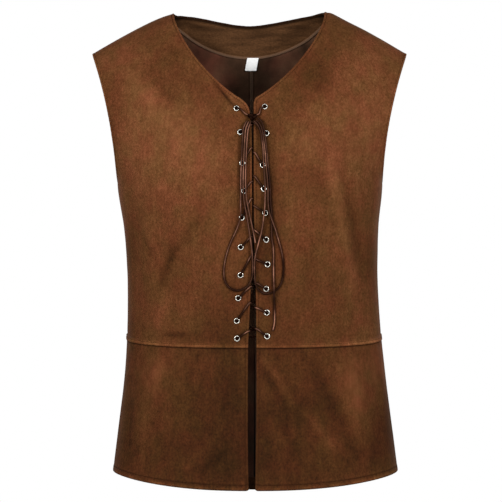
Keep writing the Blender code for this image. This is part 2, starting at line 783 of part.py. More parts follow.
def cord(name, points):
    """A round cord along a line of points, with flat ends."""
    curve = bpy.data.curves.new(name, "CURVE")
    curve.dimensions = "3D"
    curve.bevel_depth = LACE / 2
    curve.bevel_resolution = CORD_SIDES
    curve.use_fill_caps = True
    spline = curve.splines.new("POLY")
    spline.points.add(len(points) - 1)
    for spot, point in zip(spline.points, points):
        spot.co = (*point, 1.0)
    curve.materials.append(material(name, *LACE_CORD))
    PARTS.objects.link(bpy.data.objects.new(name, curve))


def on_front(route):
    return [lifted(-1, x * MM, z * MM, lift * MM) for x, z, lift in route]


def through_eyelet(spot, come_from, go_to):
    """The lace up through one eyelet: x, z and height, from behind the cloth to its front."""
    centre = Vector(spot)
    back = (Vector(come_from) - centre).normalized()
    ahead = (Vector(go_to) - centre).normalized()
    steps = ((back * 3.6 * MM, -4.2 * MM), (back * 0.7 * MM, -3.6 * MM), (ahead * 0.9 * MM, 1.7 * MM),
             (ahead * 3.3 * MM, 2.9 * MM), (ahead * 6.8 * MM, LACE_OVER))
    return [(*(centre + offset), lift) for offset, lift in steps]


def through_gap(side, z):
    """The lace over its own front edge, down through the gap and under the other edge."""
    half = gap(z)
    clear = half + 2.0 * MM
    tilt = 1.2 * MM
    return [(side * clear, z - tilt, LACE_OVER), (side * half * 0.5, z, 1.25 * MM),
            (-side * half * 0.5, z, -3.3 * MM), (-side * clear, z + tilt, LACE_UNDER)]


def lace(name, side):
    """Half of the lace, from the bar behind the lowest pair up to the knot, crossing over."""
    spots = {1: eyelet_spots(1), -1: eyelet_spots(-1)}
    last = len(EYELETS) - 1
    first = spots[side][last]
    bar_z = (spots[1][last][1] + spots[-1][last][1]) / 2
    route = [(side * SEAM / 2, bar_z, LACE_UNDER), (side * 10.0 * MM, bar_z, LACE_UNDER)]
    come_from = (0.0, bar_z)
    for index in range(last, 0, -1):
        spot = spots[side][index]
        cross_z = CROSSINGS[index - 1] * MM + side * LACE_PART
        route += through_eyelet(spot, come_from, (side * gap(cross_z), cross_z))
        route += through_gap(side, cross_z)
        come_from = (-side * gap(cross_z), cross_z)
        side = -side
    spot = spots[side][0]
    knot_x, knot_z, knot_lift = (value * MM for value in KNOT_MIDDLE)
    route += through_eyelet(spot, come_from, (knot_x, knot_z))
    reach = KNOT_SIZE[0] + SEAM
    route += [(knot_x + side * (reach + 3.0 * MM), knot_z + 1.2 * MM, 3.2 * MM),
              (knot_x + side * reach, knot_z + 0.4 * MM, knot_lift)]
    cord(name, [lifted(-1, *spot) for spot in route])


def knot():
    """The knot of the bow, as one rounded solid."""
    x, z, lift = (value * MM for value in KNOT_MIDDLE)
    shape = bmesh.new()
    bmesh.ops.create_uvsphere(shape, u_segments=12, v_segments=8, radius=1.0)
    bmesh.ops.scale(shape, verts=shape.verts, vec=KNOT_SIZE)
    mesh = bpy.data.meshes.new("knot")
    shape.to_mesh(mesh)
    shape.free()
    piece = new_object("knot", mesh, LACE_CORD)
    piece.location = lifted(-1, x, z, lift)


def bow():
    for name, route in (("loop_right", LOOP_RIGHT), ("end_right", END_RIGHT),
                        ("loop_left", LOOP_LEFT), ("end_left", END_LEFT)):
        line = smooth_curve(on_front(route), 4)
        length = sum((end - start).length for start, end in zip(line, line[1:]))
        steps = round(length / (CORD_SPACING * LACE))
        cord(name, [walk(line, step / steps) for step in range(steps + 1)])


def collection(name):
    result = bpy.data.collections.new(name)
    bpy.context.scene.collection.children.link(result)
    return result


for old in list(bpy.data.objects):
    bpy.data.objects.remove(old)
PARTS = collection("renaissance_vest")
CUTTERS = collection("cutters")

front_panel("front_right", -1)
front_panel("front_left", 1)
BACK_SURFACES = [surface_of(back_panel()), surface_of(skirt_back())]
skirt_front("skirt_front_right", -1)
skirt_front("skirt_front_left", 1)
neck_facing()
back_lining("lining_right", -1)
back_lining("lining_left", 1)
label()
eyelets()
lace("lace_from_right", -1)
lace("lace_from_left", 1)
knot()
bow()
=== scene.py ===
"""The looks of the renaissance vest: its cloth, sewing, eyelets and laces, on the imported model."""
import math

import bmesh
import bpy
import numpy as np
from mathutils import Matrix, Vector, noise
from mathutils.kdtree import KDTree


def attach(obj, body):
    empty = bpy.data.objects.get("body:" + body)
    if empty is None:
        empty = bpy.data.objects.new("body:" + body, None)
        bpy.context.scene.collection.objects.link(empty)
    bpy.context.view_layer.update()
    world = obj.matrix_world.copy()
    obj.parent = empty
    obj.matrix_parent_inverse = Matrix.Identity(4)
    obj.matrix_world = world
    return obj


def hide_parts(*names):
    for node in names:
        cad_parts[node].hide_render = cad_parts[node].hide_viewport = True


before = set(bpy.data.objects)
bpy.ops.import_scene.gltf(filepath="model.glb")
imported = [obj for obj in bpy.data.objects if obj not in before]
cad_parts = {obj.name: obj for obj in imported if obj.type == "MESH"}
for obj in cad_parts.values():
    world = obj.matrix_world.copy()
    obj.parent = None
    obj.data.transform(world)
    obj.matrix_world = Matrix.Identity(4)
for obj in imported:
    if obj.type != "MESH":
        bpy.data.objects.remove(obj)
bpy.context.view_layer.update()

MM = 0.001
BODY = "root"

# The wearer's right lies towards -X, and the front of the vest faces -Y
RIGHT, LEFT = -1, 1
FRONT, BACK = -1, 1
SIDES = {RIGHT: "right", LEFT: "left"}

# Cloth walls, the space behind the outer cloth, and how edges are rounded and rubbed
CLOTH = 2.0 * MM
FACING = 1.2 * MM
LINING = 1.0 * MM
LABEL = 0.6 * MM
SEAM = 0.3 * MM
JOIN = 0.03 * MM
BACKING_SPACE = 1.2 * MM
BACKING_CLEAR = 0.1 * MM
BACKING_REACH = 9.0 * MM
EDGE_ROUND = 0.9 * MM
SEAM_ROUND = 0.65 * MM
EDGE_WEAR = 0.6
EDGE_WEAR_REACH = 1.9 * MM

# The neck and the shoulders, measured from the middle of the body
NECK_HALF = 110.0 * MM
NECK_DEPTH = {LEFT: 137.0 * MM, RIGHT: 141.0 * MM}
NECK_CORNER = {LEFT: 7.0 * MM, RIGHT: 15.0 * MM}
NECK_BEND = 1.55
NECK_FALL = 0.8
CORNER_SPREAD = 0.6
BACK_NECK_DEPTH = 14.2 * MM
BACK_NECK_BEND = 1.5
BACK_NECK_HOLD = 0.85
SHOULDER_HALF = 229.0 * MM
SHOULDER_START = 90.0 * MM
SHOULDER_RISE = 5.5 * MM
SHOULDER_FALL = 67.5 * MM
SHOULDER_BEND = 1.25

# Millimetres: the neck points (x, z), how far round each the cloth stands up, and by how much
NECK_POINTS = (
    (-110.0, 0.0, 20.0, -2.0),
    (-110.0, -1.0, 4.0, -1.0),
    (114.0, 0.0, 19.0, 2.2),
    (109.0, 1.0, 5.0, -2.4),
)

# The arch over the shoulders: how far down it reaches, and how quickly it fills out
ARCH = {FRONT: (300.0 * MM, 1.5), BACK: (260.0 * MM, 2.0)}

# The armhole, and how the body widens above the underarm
UNDERARM = -247.0 * MM
UNDERARM_HALF = 193.0 * MM
ARMHOLE_FLARE = 36.2 * MM
ARM_SLOPE = 0.13
ARM_SPREAD = 0.72
ARM_EASE = 40.0 * MM

# The waist seam and the hem: height at the side seam, and how far they dip at the centre
WAIST = -476.0 * MM
WAIST_DIP = 8.6 * MM
WAIST_BEND = 0.8
HEM = -667.5 * MM
HEM_DIP = {FRONT: 15.0 * MM, BACK: 46.5 * MM}
HEM_BEND = {FRONT: 2.5, BACK: 2.0}

# How far the hem's corners at the front edges are lifted, and how far along the hem
HEM_CORNER_LIFT = 1.8 * MM
HEM_CORNER_REACH = 4.0 * MM

# The band along the waist, where the seam allowance is stitched up
BAND_HEIGHT = 6.0 * MM
BAND_STEP = 1.3 * MM
BAND_PROUD = 1.2 * MM

# A cross-section is a rounded oval of this power
OVAL = 2.3

# Millimetres: height, half width, shift of the middle, front depth, back depth
HALF_WIDTH, MIDDLE, FRONT_DEPTH, BACK_DEPTH = 1, 2, 3, 4
SECTIONS = (
    (0.0, 193.0, -3.8, 124.0, 118.0),
    (-247.0, 193.0, -3.1, 124.0, 118.0),
    (-317.0, 185.0, -1.0, 124.0, 117.0),
    (-392.0, 182.2, 1.0, 118.0, 110.0),
    (-459.0, 184.0, 2.6, 114.0, 104.0),
    (-517.0, 188.6, 4.4, 115.0, 107.0),
    (-619.0, 200.9, 4.8, 121.0, 116.0),
    (-712.0, 213.0, 4.4, 126.0, 122.0),
)

# Millimetres: height, half of the gap between the two front edges, and the gap's middle
HALF_GAP, GAP_MIDDLE = 1, 2
FRONT_GAP = (
    (-120.0, 3.2, -0.6),
    (-150.0, 3.0, -0.8),
    (-165.0, 1.9, 0.4),
    (-200.0, 1.4, 0.9),
    (-290.0, 1.3, 1.2),
    (-340.0, 1.6, 1.7),
    (-370.0, 2.6, 2.0),
    (-417.0, 4.0, 1.4),
    (-459.0, 5.2, 0.7),
    (-480.0, 5.8, 0.3),
    (-570.0, 6.0, 0.0),
    (-650.0, 5.2, -0.3),
    (-712.0, 3.8, 0.1),
)

# Millimetres: the ends of each fold (x, z, x, z), its half width and its height
HEIGHT, PAINTED_SHADING = 5, 6
FOLDS = {
    FRONT: (
        (-168, -268, -166, -440, 15, -3),
        (-84, -330, -142, -410, 16, -2.6),
        (116, -266, 138, -402, 13, 2.4),
        (148, -296, 150, -384, 13, -2.6),
        (60, -515, 76, -655, 15, -2.6),
        (-68, -525, -92, -655, 16, -2.4),
        (172, -492, 184, -612, 13, -3.2),
        (-170, -492, -184, -612, 13, -3.2),
    ),
    BACK: (
        (-96, -296, -128, -436, 17, -3),
        (102, -288, 130, -442, 17, -3.2),
        (20, -396, -14, -470, 15, -2.2),
        (-62, -512, -84, -690, 16, -2.8),
        (52, -520, 66, -690, 16, -2.6),
        (140, -505, 160, -650, 15, -3),
        (-142, -500, -160, -650, 15, -3),
    ),
}

# The lesser creases in the same columns, and the painted shading along each: darker in troughs and
# beside the laces, lighter on ridges; rows of no height are painted only
CREASES = {
    FRONT: (
        (-56, -108, -20, -152, 2.2, -2.4, -0.75),
        (-17.6, -178, -18.6, -268, 2.4, -0.3, -0.38),
        (-6, -176, -7.5, -232, 2.2, -0.3, -0.35),
        (27.5, -172, 29, -330, 4.5, -0.4, -0.3),
        (8, -170, 8.2, -235, 1.9, -0.2, -0.4),
        (-176, -15, -5, -198, 25, 0, -0.26),
        (152, -10, 0, -192, 26, 0, -0.3),
        (-163, -73, -104, -144, 13, -1.2, -0.29),
        (-182, -79, -87, -215, 15, 1.2, 0.23),
        (-97, -61, -20, -140, 6, 0.3, 0.16),
        (111, -78, 93, -129, 9, -0.9, -0.2),
        (74, -176, 76, -228, 13, 0.5, 0.23),
        (-60, -284, -120, -366, 9, -1.5, -0.26),
        (-106, -334, -132, -405, 6.5, -1.4, -0.46),
        (-161, -318, -138, -362, 4.5, -1, -0.3),
        (-152, -288, -140, -352, 9, 1, 0.16),
        (-116, -400, -132, -452, 10, 1.2, 0.32),
        (-142, -454, -112, -452, 8, 0.9, 0.22),
        (-128, -467, -88, -467, 4, -0.8, -0.42),
        (108, -200, 148, -430, 7, 0.7, 0.42),
        (126, -225, 160, -395, 7, -0.9, -0.36),
        (49, -236, 53, -417, 10, 0.5, 0.16),
        (-39, -236, -42, -417, 10, 0.5, 0.18),
        (88, -222, 92, -290, 14, -0.5, -0.16),
        (81, -313, 88, -460, 11, -0.6, -0.13),
        (-204, -90, -173, -200, 9, -0.6, -0.16),
        (197, -128, 183, -240, 10, -0.8, -0.08),
        (-126, -492, -146, -560, 10, 1.3, 0.48),
        (-147, -552, -162, -622, 9, 0.9, 0.26),
        (76, -490, 138, -612, 11, -1.8, -0.4),
        (132, -600, 150, -650, 8, -1.2, -0.36),
        (131, -490, 157, -622, 13, 1.6, 0.5),
        (14, -492, 66, -576, 5, 1, 0.4),
        (66, -562, 128, -640, 8, 1.4, 0.5),
        (14, -510, 44, -566, 7, -1, -0.24),
        (13, -532, 32, -562, 6, 0.7, 0.26),
        (16, -588, 56, -622, 7, 0.9, 0.26),
        (36, -590, 84, -655, 9, -1.1, -0.22),
        (-96, -659, -50, -611, 7, 0.8, 0.23),
        (-54, -617, -35, -577, 6, 0.7, 0.16),
        (-88, -668, -30, -622, 8, -0.9, -0.22),
        (-92, -500, -78, -596, 11, -0.8, -0.13),
        (-156, -606, -160, -670, 4, 0.5, 0.28),
        (-170, -556, -176, -640, 5, -0.6, -0.28),
        (178, -610, 168, -668, 7, -0.6, -0.3),
    ),
    BACK: (
        (-30, -60, -64, -150, 13, -0.9, -0.27),
        (40, -64, 78, -168, 14, -1, -0.31),
        (-168, -214, -118, -286, 10, -1.4, -0.36),
        (-176, -240, -136, -318, 9, 1, 0.31),
        (172, -208, 124, -292, 10, -1.3, -0.34),
        (178, -236, 140, -322, 8, 0.9, 0.27),
        (-150, -90, -178, -182, 12, -0.9, -0.22),
        (148, -86, 176, -190, 12, -1, -0.22),
        (-50, -390, -70, -468, 9, 0.8, 0.31),
        (66, -402, 52, -470, 9, -0.9, -0.27),
        (8, -380, 28, -462, 7, 0.7, 0.27),
        (-10, -496, -24, -650, 9, 1.1, 0.39),
        (24, -500, 62, -600, 8, -0.9, -0.31),
        (98, -498, 118, -668, 11, 1.2, 0.44),
        (-112, -500, -126, -660, 12, 1, 0.39),
        (-60, -640, -20, -690, 8, 0.8, 0.27),
        (-94, -292, -126, -440, 9, 0, -0.26),
        (-112, -300, -146, -430, 7, 0, 0.2),
        (104, -290, 130, -444, 9, 0, -0.28),
        (86, -310, 112, -440, 7, 0, 0.18),
        (18, -398, -14, -468, 8, 0, -0.24),
        (-64, -512, -84, -686, 9, 0, -0.28),
        (52, -520, 66, -686, 8, 0, -0.12),
        (142, -510, 160, -646, 8, 0, -0.28),
        (-144, -504, -160, -646, 8, 0, -0.26),
    ),
}

# How a fold swells from its ends, and how fast it fades out towards the side seam
FOLD_SWELL = 0.7
FOLD_FADE = 14.0

# Millimetres: the cloth's gentle unevenness, as heights and the size of its features
UNEVENNESS = ((0.5, 58.0), (0.15, 20.0))

# The facing behind the neck, the lining below it and the label on its lower seam
FACING_DEPTH = 58.0 * MM
FACING_HALF = 122.0 * MM
FACING_BEND = 2.1
FACING_INSET = 1.0 * MM
FACING_STEP_ACROSS, FACING_STEP_UP = 2.4 * MM, 2.2 * MM
LINING_ABOVE_HEM = 20.0 * MM
LINING_CENTRE = 2.8 * MM
LINING_TUCK = 2.0 * MM
LINING_INSET = 3.0 * MM
LINING_DROP = 2.0 * MM
LINING_SLACK = 2.2 * MM
SLACK_HEIGHT = -440.0 * MM
SLACK_REACH = 75.0 * MM
LABEL_HALF = 8.6 * MM
LABEL_MIDDLE = 1.5 * MM
LABEL_TOP = -56.6 * MM
LABEL_BOTTOM = -74.8 * MM
LABEL_LEAN = -3.6 * MM
LABEL_ROUND = 0.28 * MM
LABEL_STEPS = 29

# How far apart a cloth's points lie, beside its edges and over the rest of it
EDGE_STEPS = np.array((0.0, 0.3, 0.75, 1.3, 2.0, 2.8, 3.4, 4.0, 5.0, 6.0, 6.7, 7.4, 8.1, 9.0,
                       10.6, 12.8)) * MM
CLOTH_STEP = 2.9 * MM
BACK_STEP = 3.3 * MM
LINING_STEP = 5.0 * MM
LINE_STEPS = 400
DISTANCE_STEP = 0.5 * MM

# Millimetres, top to bottom: the eyelets' x and z on the wearer's right and left
EYELETS = (
    (-21.8, -148.9, 17.9, -146.4),
    (-16.6, -182.8, 19.9, -184.6),
    (-13.6, -226.5, 14.9, -229.2),
    (-11.2, -265.5, 16.4, -262.6),
    (-14.2, -302.6, 18.2, -296.2),
    (-15.8, -343.6, 19.6, -333.2),
    (-16.1, -382.4, 21.4, -367.5),
    (-19.3, -414.6, 19.6, -401.9),
    (-21.4, -446.4, 20.6, -434.8),
    (-21.0, -471.0, 20.9, -467.8),
)

# Millimetres: where the laces to the right and left eyelets pass the gap, from the second pair
CROSSINGS = (
    (-172.5, -169.5),
    (-205.8, -211.8),
    (-252.5, -245.0),
    (-276.6, -286.4),
    (-328.2, -319.8),
    (-355.4, -359.6),
    (-398.3, -392.8),
    (-421.3, -427.5),
    (-460.2, -457.0),
)
HOLE = 3.5 * MM
HOLE_SIDES = 20

# The lace, how it lies over and under the cloth, and the bow's knot
LACE = 2.4 * MM
# How dark the laces' painted shadow on the cloth is
LACE_SHADE = 0.8
LACE_OVER = 1.7 * MM
LACE_UNDER = -4.0 * MM
LACE_SIDES = 10
LACE_STEP = 1.5 * MM
KNOT_MIDDLE = (0.3, -162.2, 4.5)
KNOT_SIZE = (6.6 * MM, 3.4 * MM, 4.4 * MM)
KNOT_INSET = 1.1 * MM
KNOT_CORD = 1.8 * MM
# How bright the knot's painted highlight is
KNOT_HIGHLIGHT = 0.06
KNOT_STEPS = 90

# The knot's turn: the share of its inner loops, and the reach that they give it
INNER_LOOPS = 1.7
TURN_REACH = 2.5

# Steps between two points of a strand's and of a crossing lace's route
STRAND_STEPS = 6
CROSSING_STEPS = 5

# Millimetres: the bow's strands, each point x, z and height above the cloth
LOOP_RIGHT = (
    (-7.6, -168.6, 5.4), (-10.3, -174.2, 5.4), (-12.4, -180.3, 5.3), (-13.3, -194.4, 5.2),
    (-14.0, -207.1, 5.2), (-14.8, -226.7, 5.3), (-15.4, -239.3, 5.3), (-15.7, -251.9, 5.0),
    (-15.7, -265.8, 4.8), (-15.8, -278.3, 4.6), (-15.8, -289.4, 5.0), (-15.8, -299.1, 5.3),
    (-18.2, -310.8, 4.6), (-23.3, -323.3, 2.6), (-28.2, -333.7, 1.9), (-33.2, -346.2, 1.6),
    (-37.3, -361.5, 1.6), (-39.2, -376.8, 1.6), (-37.8, -390.1, 1.6), (-33.1, -398.1, 1.6),
    (-26.3, -402.7, 1.6), (-19.2, -403.8, 1.9), (-12.4, -401.6, 3.0), (-5.4, -396.6, 4.5),
    (-0.8, -387.6, 4.8), (0.6, -376.8, 4.8), (0.8, -364.3, 4.8), (-0.2, -349.0, 4.8),
    (-2.1, -333.7, 4.8), (-3.7, -322.7, 4.8), (-5.7, -310.2, 4.9), (-7.5, -299.1, 5.0),
    (-9.6, -288.7, 5.0), (-11.4, -277.6, 5.0), (-12.2, -265.8, 5.2), (-12.3, -251.9, 5.2),
    (-12.1, -239.3, 5.3), (-11.6, -226.7, 5.3), (-10.8, -207.1, 5.3), (-10.1, -194.4, 5.3),
    (-9.0, -180.8, 5.4), (-6.9, -174.6, 5.4), (-4.7, -169.4, 5.4),
)
END_RIGHT = (
    (-1.7, -169.0, 5.4), (-3.7, -175.3, 5.4), (-5.6, -181.4, 5.4), (-6.9, -194.4, 5.3),
    (-7.7, -207.1, 5.3), (-8.5, -226.7, 5.3), (-9.0, -239.3, 5.3), (-9.1, -251.9, 5.3),
    (-8.6, -265.8, 5.3), (-7.6, -277.6, 5.1), (-5.6, -288.7, 4.9), (-3.2, -299.8, 4.9),
    (-0.8, -311.0, 4.9), (1.6, -322.3, 4.8), (3.4, -331.0, 4.8), (4.4, -337.4, 4.7),
)
LOOP_LEFT = (
    (5.6, -167.6, 5.4), (9.2, -171.0, 5.5), (12.2, -176.0, 5.6), (14.0, -181.6, 5.6),
    (15.1, -188.2, 5.5), (16.3, -197.2, 5.2), (17.7, -208.5, 4.9), (19.0, -226.7, 4.6),
    (20.2, -239.3, 4.6), (21.3, -251.8, 4.6), (21.9, -264.4, 4.6), (21.9, -276.9, 4.6),
    (22.6, -288.7, 4.7), (24.3, -297.2, 4.8), (26.9, -304.9, 4.8), (29.6, -312.3, 4.3),
    (32.4, -319.9, 3.0), (34.9, -328.2, 2.2), (37.8, -337.9, 1.7), (40.4, -347.6, 1.6),
    (42.5, -358.7, 1.6), (43.4, -370.6, 1.6), (42.9, -383.1, 1.6), (40.5, -393.5, 1.6),
    (35.9, -401.0, 1.6), (29.6, -405.7, 1.6), (22.7, -407.8, 2.4), (16.0, -407.4, 2.9),
    (10.2, -404.1, 3.7), (6.2, -398.5, 4.6), (4.1, -390.7, 4.8), (3.3, -376.8, 4.8),
    (3.4, -364.3, 4.8), (4.7, -353.9, 4.8), (7.3, -343.5, 4.9), (10.1, -333.1, 5.0),
    (12.7, -323.4, 5.0), (14.6, -312.3, 5.2), (16.0, -301.2, 5.4), (17.2, -290.8, 5.4),
    (17.8, -277.6, 5.2), (18.0, -264.4, 5.2), (17.6, -251.9, 5.2), (16.7, -239.3, 5.3),
    (15.9, -226.7, 5.3), (15.2, -208.5, 5.3), (13.9, -197.2, 5.3), (12.7, -188.2, 5.3),
    (11.2, -181.6, 5.3), (8.8, -176.0, 5.3), (5.8, -171.8, 5.3), (2.4, -168.6, 5.4),
)
END_LEFT = (
    (8.3, -164.8, 5.4), (12.4, -168.4, 5.4), (15.0, -173.6, 5.3), (16.6, -180.0, 5.3),
    (17.6, -187.0, 5.2), (18.9, -197.0, 4.5), (20.4, -210.4, 3.2), (21.8, -226.7, 2.0),
    (23.2, -239.3, 1.8), (24.3, -251.8, 1.8), (25.0, -264.4, 1.8), (25.2, -276.9, 1.8),
    (26.2, -288.7, 1.7), (27.3, -299.0, 1.7), (27.5, -309.0, 1.7), (27.0, -320.0, 1.7),
    (27.3, -331.0, 1.7), (29.2, -343.6, 1.7), (29.7, -356.0, 1.7), (29.7, -369.5, 1.7),
    (29.8, -383.0, 1.8), (30.0, -391.5, 2.6), (30.2, -398.5, 4.2), (30.3, -405.7, 4.7),
    (30.4, -412.8, 4.2), (30.8, -420.0, 2.6), (31.2, -430.0, 1.7), (31.4, -441.0, 1.7),
    (30.8, -451.0, 1.7), (28.8, -459.6, 1.7),
)

# How bright the painted highlight along each strand is: share of its length from the knot, and
# amount
STRAND_HIGHLIGHT = {
    "loop_right": ((0.0, 0.3), (0.02, 0.5), (0.04, 0.3), (0.10, 0.25), (0.13, 0.85), (0.24, 0.85),
                   (0.28, 0.3), (0.34, 0.7), (0.42, 0.75), (0.455, 0.2), (0.5, 0.08),
                   (0.55, 0.15), (0.62, 0.7), (0.7, 0.85), (0.8, 0.6), (0.9, 0.95), (1.0, 0.6)),
    "end_right": ((0.0, 0.4), (0.1, 0.8), (0.25, 1.0), (0.5, 0.7), (0.65, 1.0), (0.85, 0.6),
                  (1.0, 0.95)),
    "loop_left": ((0.0, 0.2), (0.03, 0.35), (0.06, 0.6), (0.09, 1.05), (0.12, 1.0), (0.16, 0.6),
                  (0.25, 0.35), (0.29, 0.9), (0.35, 0.7), (0.4, 0.08), (0.49, 0.08),
                  (0.55, 0.2), (0.6, 0.7), (0.66, 1.0), (0.73, 0.95), (0.8, 0.75), (0.86, 0.5),
                  (0.92, 0.85), (0.95, 0.4), (1.0, 0.3)),
    "end_left": ((0.0, 0.2), (0.06, 0.3), (0.12, 0.65), (0.16, 0.5), (0.25, 0.3), (0.4, 0.25),
                 (0.56, 0.4), (0.65, 0.9), (0.77, 0.95), (0.82, 0.12), (0.9, 0.12),
                 (0.94, 0.95), (1.0, 0.9)),
}

# Above this height the crossing laces run up to the knot
FIRST_LACE = -169.0 * MM

# The camera stands level with the middle of the vest, straight in front of it
CAMERA_PLACE = (-1.5 * MM, -2.527, -0.349)
CAMERA_LENS = 124.1
FLOOR = -1.45
FLOOR_SIZE = 6.0


def camera():
    data = bpy.data.cameras.new("camera")
    data.lens = CAMERA_LENS
    data.clip_end = 50.0
    viewer = new_object("camera", data)
    viewer.location = CAMERA_PLACE
    viewer.rotation_euler = (math.pi / 2, 0.0, 0.0)
    bpy.context.scene.camera = viewer


# The form of the body, for arrays of places: out from its middle, and height


def table_value(table, column, height):
    """Reads a column of a table of heights, smoothly, at heights in metres."""
    heights = np.array([row[0] for row in table])
    values = np.array([row[column] for row in table])
    at = np.clip(np.asarray(height, float) / MM, heights[-1], heights[0])
    last = len(heights) - 1
    upper = np.minimum(np.searchsorted(-heights[1:], -at, side="left"), last - 1)
    lower = upper + 1
    above, below = np.maximum(upper - 1, 0), np.minimum(lower + 1, last)
    step = heights[upper] - heights[lower]
    part = (at - heights[lower]) / step
    low, up = values[lower], values[upper]
    slope_low = (up - values[below]) / (heights[upper] - heights[below]) * step
    slope_up = (values[above] - low) / (heights[above] - heights[lower]) * step
    bend = 2 * low - 2 * up + slope_low + slope_up
    swing = -3 * low + 3 * up - 2 * slope_low - slope_up
    return (bend * part ** 3 + swing * part ** 2 + slope_low * part + low) * MM


def middle(height):
    return table_value(SECTIONS, MIDDLE, height)


def half_width(height):
    """Half the width of the body, which goes on widening above the underarm."""
    rise = np.maximum(0.0, np.asarray(height, float) - UNDERARM)
    above = UNDERARM_HALF + ARM_SLOPE * rise + ARM_SPREAD * rise ** 2 / (rise + ARM_EASE)
    return np.where(rise > 0.0, above, table_value(SECTIONS, HALF_WIDTH, height))


def shoulder_line(out):
    """Height of the shoulder seam at a distance out from the middle of the body."""
    share = np.maximum(0.0, (np.abs(out) - SHOULDER_START) / (SHOULDER_HALF - SHOULDER_START))
    return SHOULDER_RISE - SHOULDER_FALL * share ** SHOULDER_BEND


def along_folds(table, face, x, z, column):
    """Adds up a column of a table of folds, each strongest along the middle of its line."""
    total = np.zeros(np.broadcast(x, z).shape)
    for row in table[face]:
        x1, z1, x2, z2, half = row[:5]
        run = np.array((x2 - x1, z2 - z1)) * MM
        offset = np.stack((x - x1 * MM, z - z1 * MM), -1)
        share = np.clip(offset @ run / (run @ run), 0.0, 1.0)
        across = np.linalg.norm(offset - share[..., None] * run, axis=-1) / (half * MM)
        total += row[column] * np.exp(-across ** 2) * np.sin(math.pi * share) ** FOLD_SWELL
    return total


def nearness(out, z):
    """1 at the centre of the front or the back, and 0 at the side seam."""
    share = np.minimum(1.0, np.abs(out) / half_width(z))
    return np.maximum(0.0, 1.0 - share ** OVAL) ** (1.0 / OVAL)


def cloth_point(face, out, z):
    """Points of the cloth's outer surface, from their distance out from the middle and height."""
    drop = np.maximum(0.0, shoulder_line(out) - z)
    reach, power = ARCH[face]
    arch = np.sqrt(np.maximum(0.0, 1.0 - np.maximum(0.0, 1.0 - drop / reach) ** power))
    depth = table_value(SECTIONS, FRONT_DEPTH if face == FRONT else BACK_DEPTH, z)
    depth = depth * arch * nearness(out, z)
    x = out + middle(z)
    ease = np.clip((1.0 - np.abs(out) / half_width(z)) * FOLD_FADE, 0.0, 1.0)
    depth = depth + along_folds(FOLDS, face, x, z, HEIGHT) * MM * ease
    stand = sum(rise * np.exp(-((x / MM - place_x) ** 2 + (z / MM - place_z) ** 2) / wide ** 2)
                for place_x, place_z, wide, rise in NECK_POINTS)
    return np.stack((x, face * (depth + JOIN / 2), z + stand * MM), -1)


def unit(vectors):
    length = np.linalg.norm(vectors, axis=-1, keepdims=True)
    return vectors / np.maximum(length, 1e-12)


def cloth_normal(face, out, z):
    step = 0.5 * MM
    along = cloth_point(face, out + step, z) - cloth_point(face, out - step, z)
    upward = cloth_point(face, out, z + step) - cloth_point(face, out, z - step)
    normal = unit(np.cross(along, upward))
    return np.where(normal[..., 1:2] * face < 0, -normal, normal)


def unevenness(points, size):
    """A smooth random value from -1 to 1 at each point, with features of the size given."""
    values = [noise.noise(Vector(point) / size) for point in points.reshape(-1, 3)]
    return np.array(values).reshape(points.shape[:-1])


def soft_relief(face, points):
    """Height of the lesser creases and of the cloth's gentle unevenness."""
    total = along_folds(CREASES, face, points[..., 0], points[..., 2], HEIGHT) * MM
    for height, size in UNEVENNESS:
        total += height * MM * unevenness(points, size * MM)
    return total


def on_cloth(face, route):
    """Points in space from a route of x, z and height above the cloth, in millimetres."""
    x, z, lift = np.array(route).T * MM
    out = x - middle(z)
    return cloth_point(face, out, z) + cloth_normal(face, out, z) * lift[:, None]


# Lines and edges


def lengths_along(line):
    steps = np.linalg.norm(np.diff(line, axis=0), axis=1)
    return np.concatenate(([0.0], np.cumsum(steps)))


def at_lengths(line, length, at):
    """Reads a line of places at the lengths given, where its own points lie at length."""
    return np.stack([np.interp(at, length, column) for column in line.T], 1)


def even_line(line, step):
    """The same line with points an even step apart."""
    length = lengths_along(line)
    count = max(2, round(length[-1] / step))
    return at_lengths(line, length, np.linspace(0.0, length[-1], count + 1))


def edge_places(face, side, line, shares):
    """Places (out, z) at shares of the real length of a panel's edge."""
    length = lengths_along(cloth_point(face, side * line[:, 0], line[:, 1]))
    return at_lengths(line, length, np.asarray(shares) * length[-1])


def edge_length(face, side, line):
    """The real length of a panel's edge."""
    return lengths_along(cloth_point(face, side * line[:, 0], line[:, 1]))[-1]


def spaced(length, step, fine_start=True, fine_end=True):
    """Shares of a length: fine steps beside a worked edge, and even ones over the rest."""
    low = EDGE_STEPS if fine_start else EDGE_STEPS[:1]
    high = length - (EDGE_STEPS if fine_end else EDGE_STEPS[:1])[::-1]
    count = max(1, round((high[0] - low[-1]) / step))
    between = np.linspace(low[-1], high[0], count + 1)[1:-1]
    return np.concatenate((low, between, high)) / length


def patch(face, side, bottom, top, inner, outer, columns, rows):
    """Fills a patch with places between four lines, read at shares of their real lengths."""
    bottom, top = (edge_places(face, side, line, columns) for line in (bottom, top))
    inner, outer = (edge_places(face, side, line, rows) for line in (inner, outer))
    across, up = columns[None, :, None], rows[:, None, None]
    ruled = inner[:, None] * (1 - across) + outer[:, None] * across
    ruled = ruled + bottom[None] * (1 - up) + top[None] * up
    low = bottom[0] * (1 - across) + bottom[-1] * across
    high = top[0] * (1 - across) + top[-1] * across
    return ruled - low * (1 - up) - high * up


def oval_line(start, height):
    """Places across half a cross-section, from out = start to the side seam."""
    angle = np.linspace(0.0, math.pi / 2, LINE_STEPS)
    z = height(np.cos(angle) ** (2.0 / OVAL))
    width = half_width(height(0.0))
    return np.stack((start + (width - start) * np.sin(angle) ** (2.0 / OVAL), z + 0.0 * angle), 1)


def upright_line(out_at, low, high):
    z = np.linspace(low, high, LINE_STEPS)
    return np.stack((out_at(z) + 0.0 * z, z), 1)


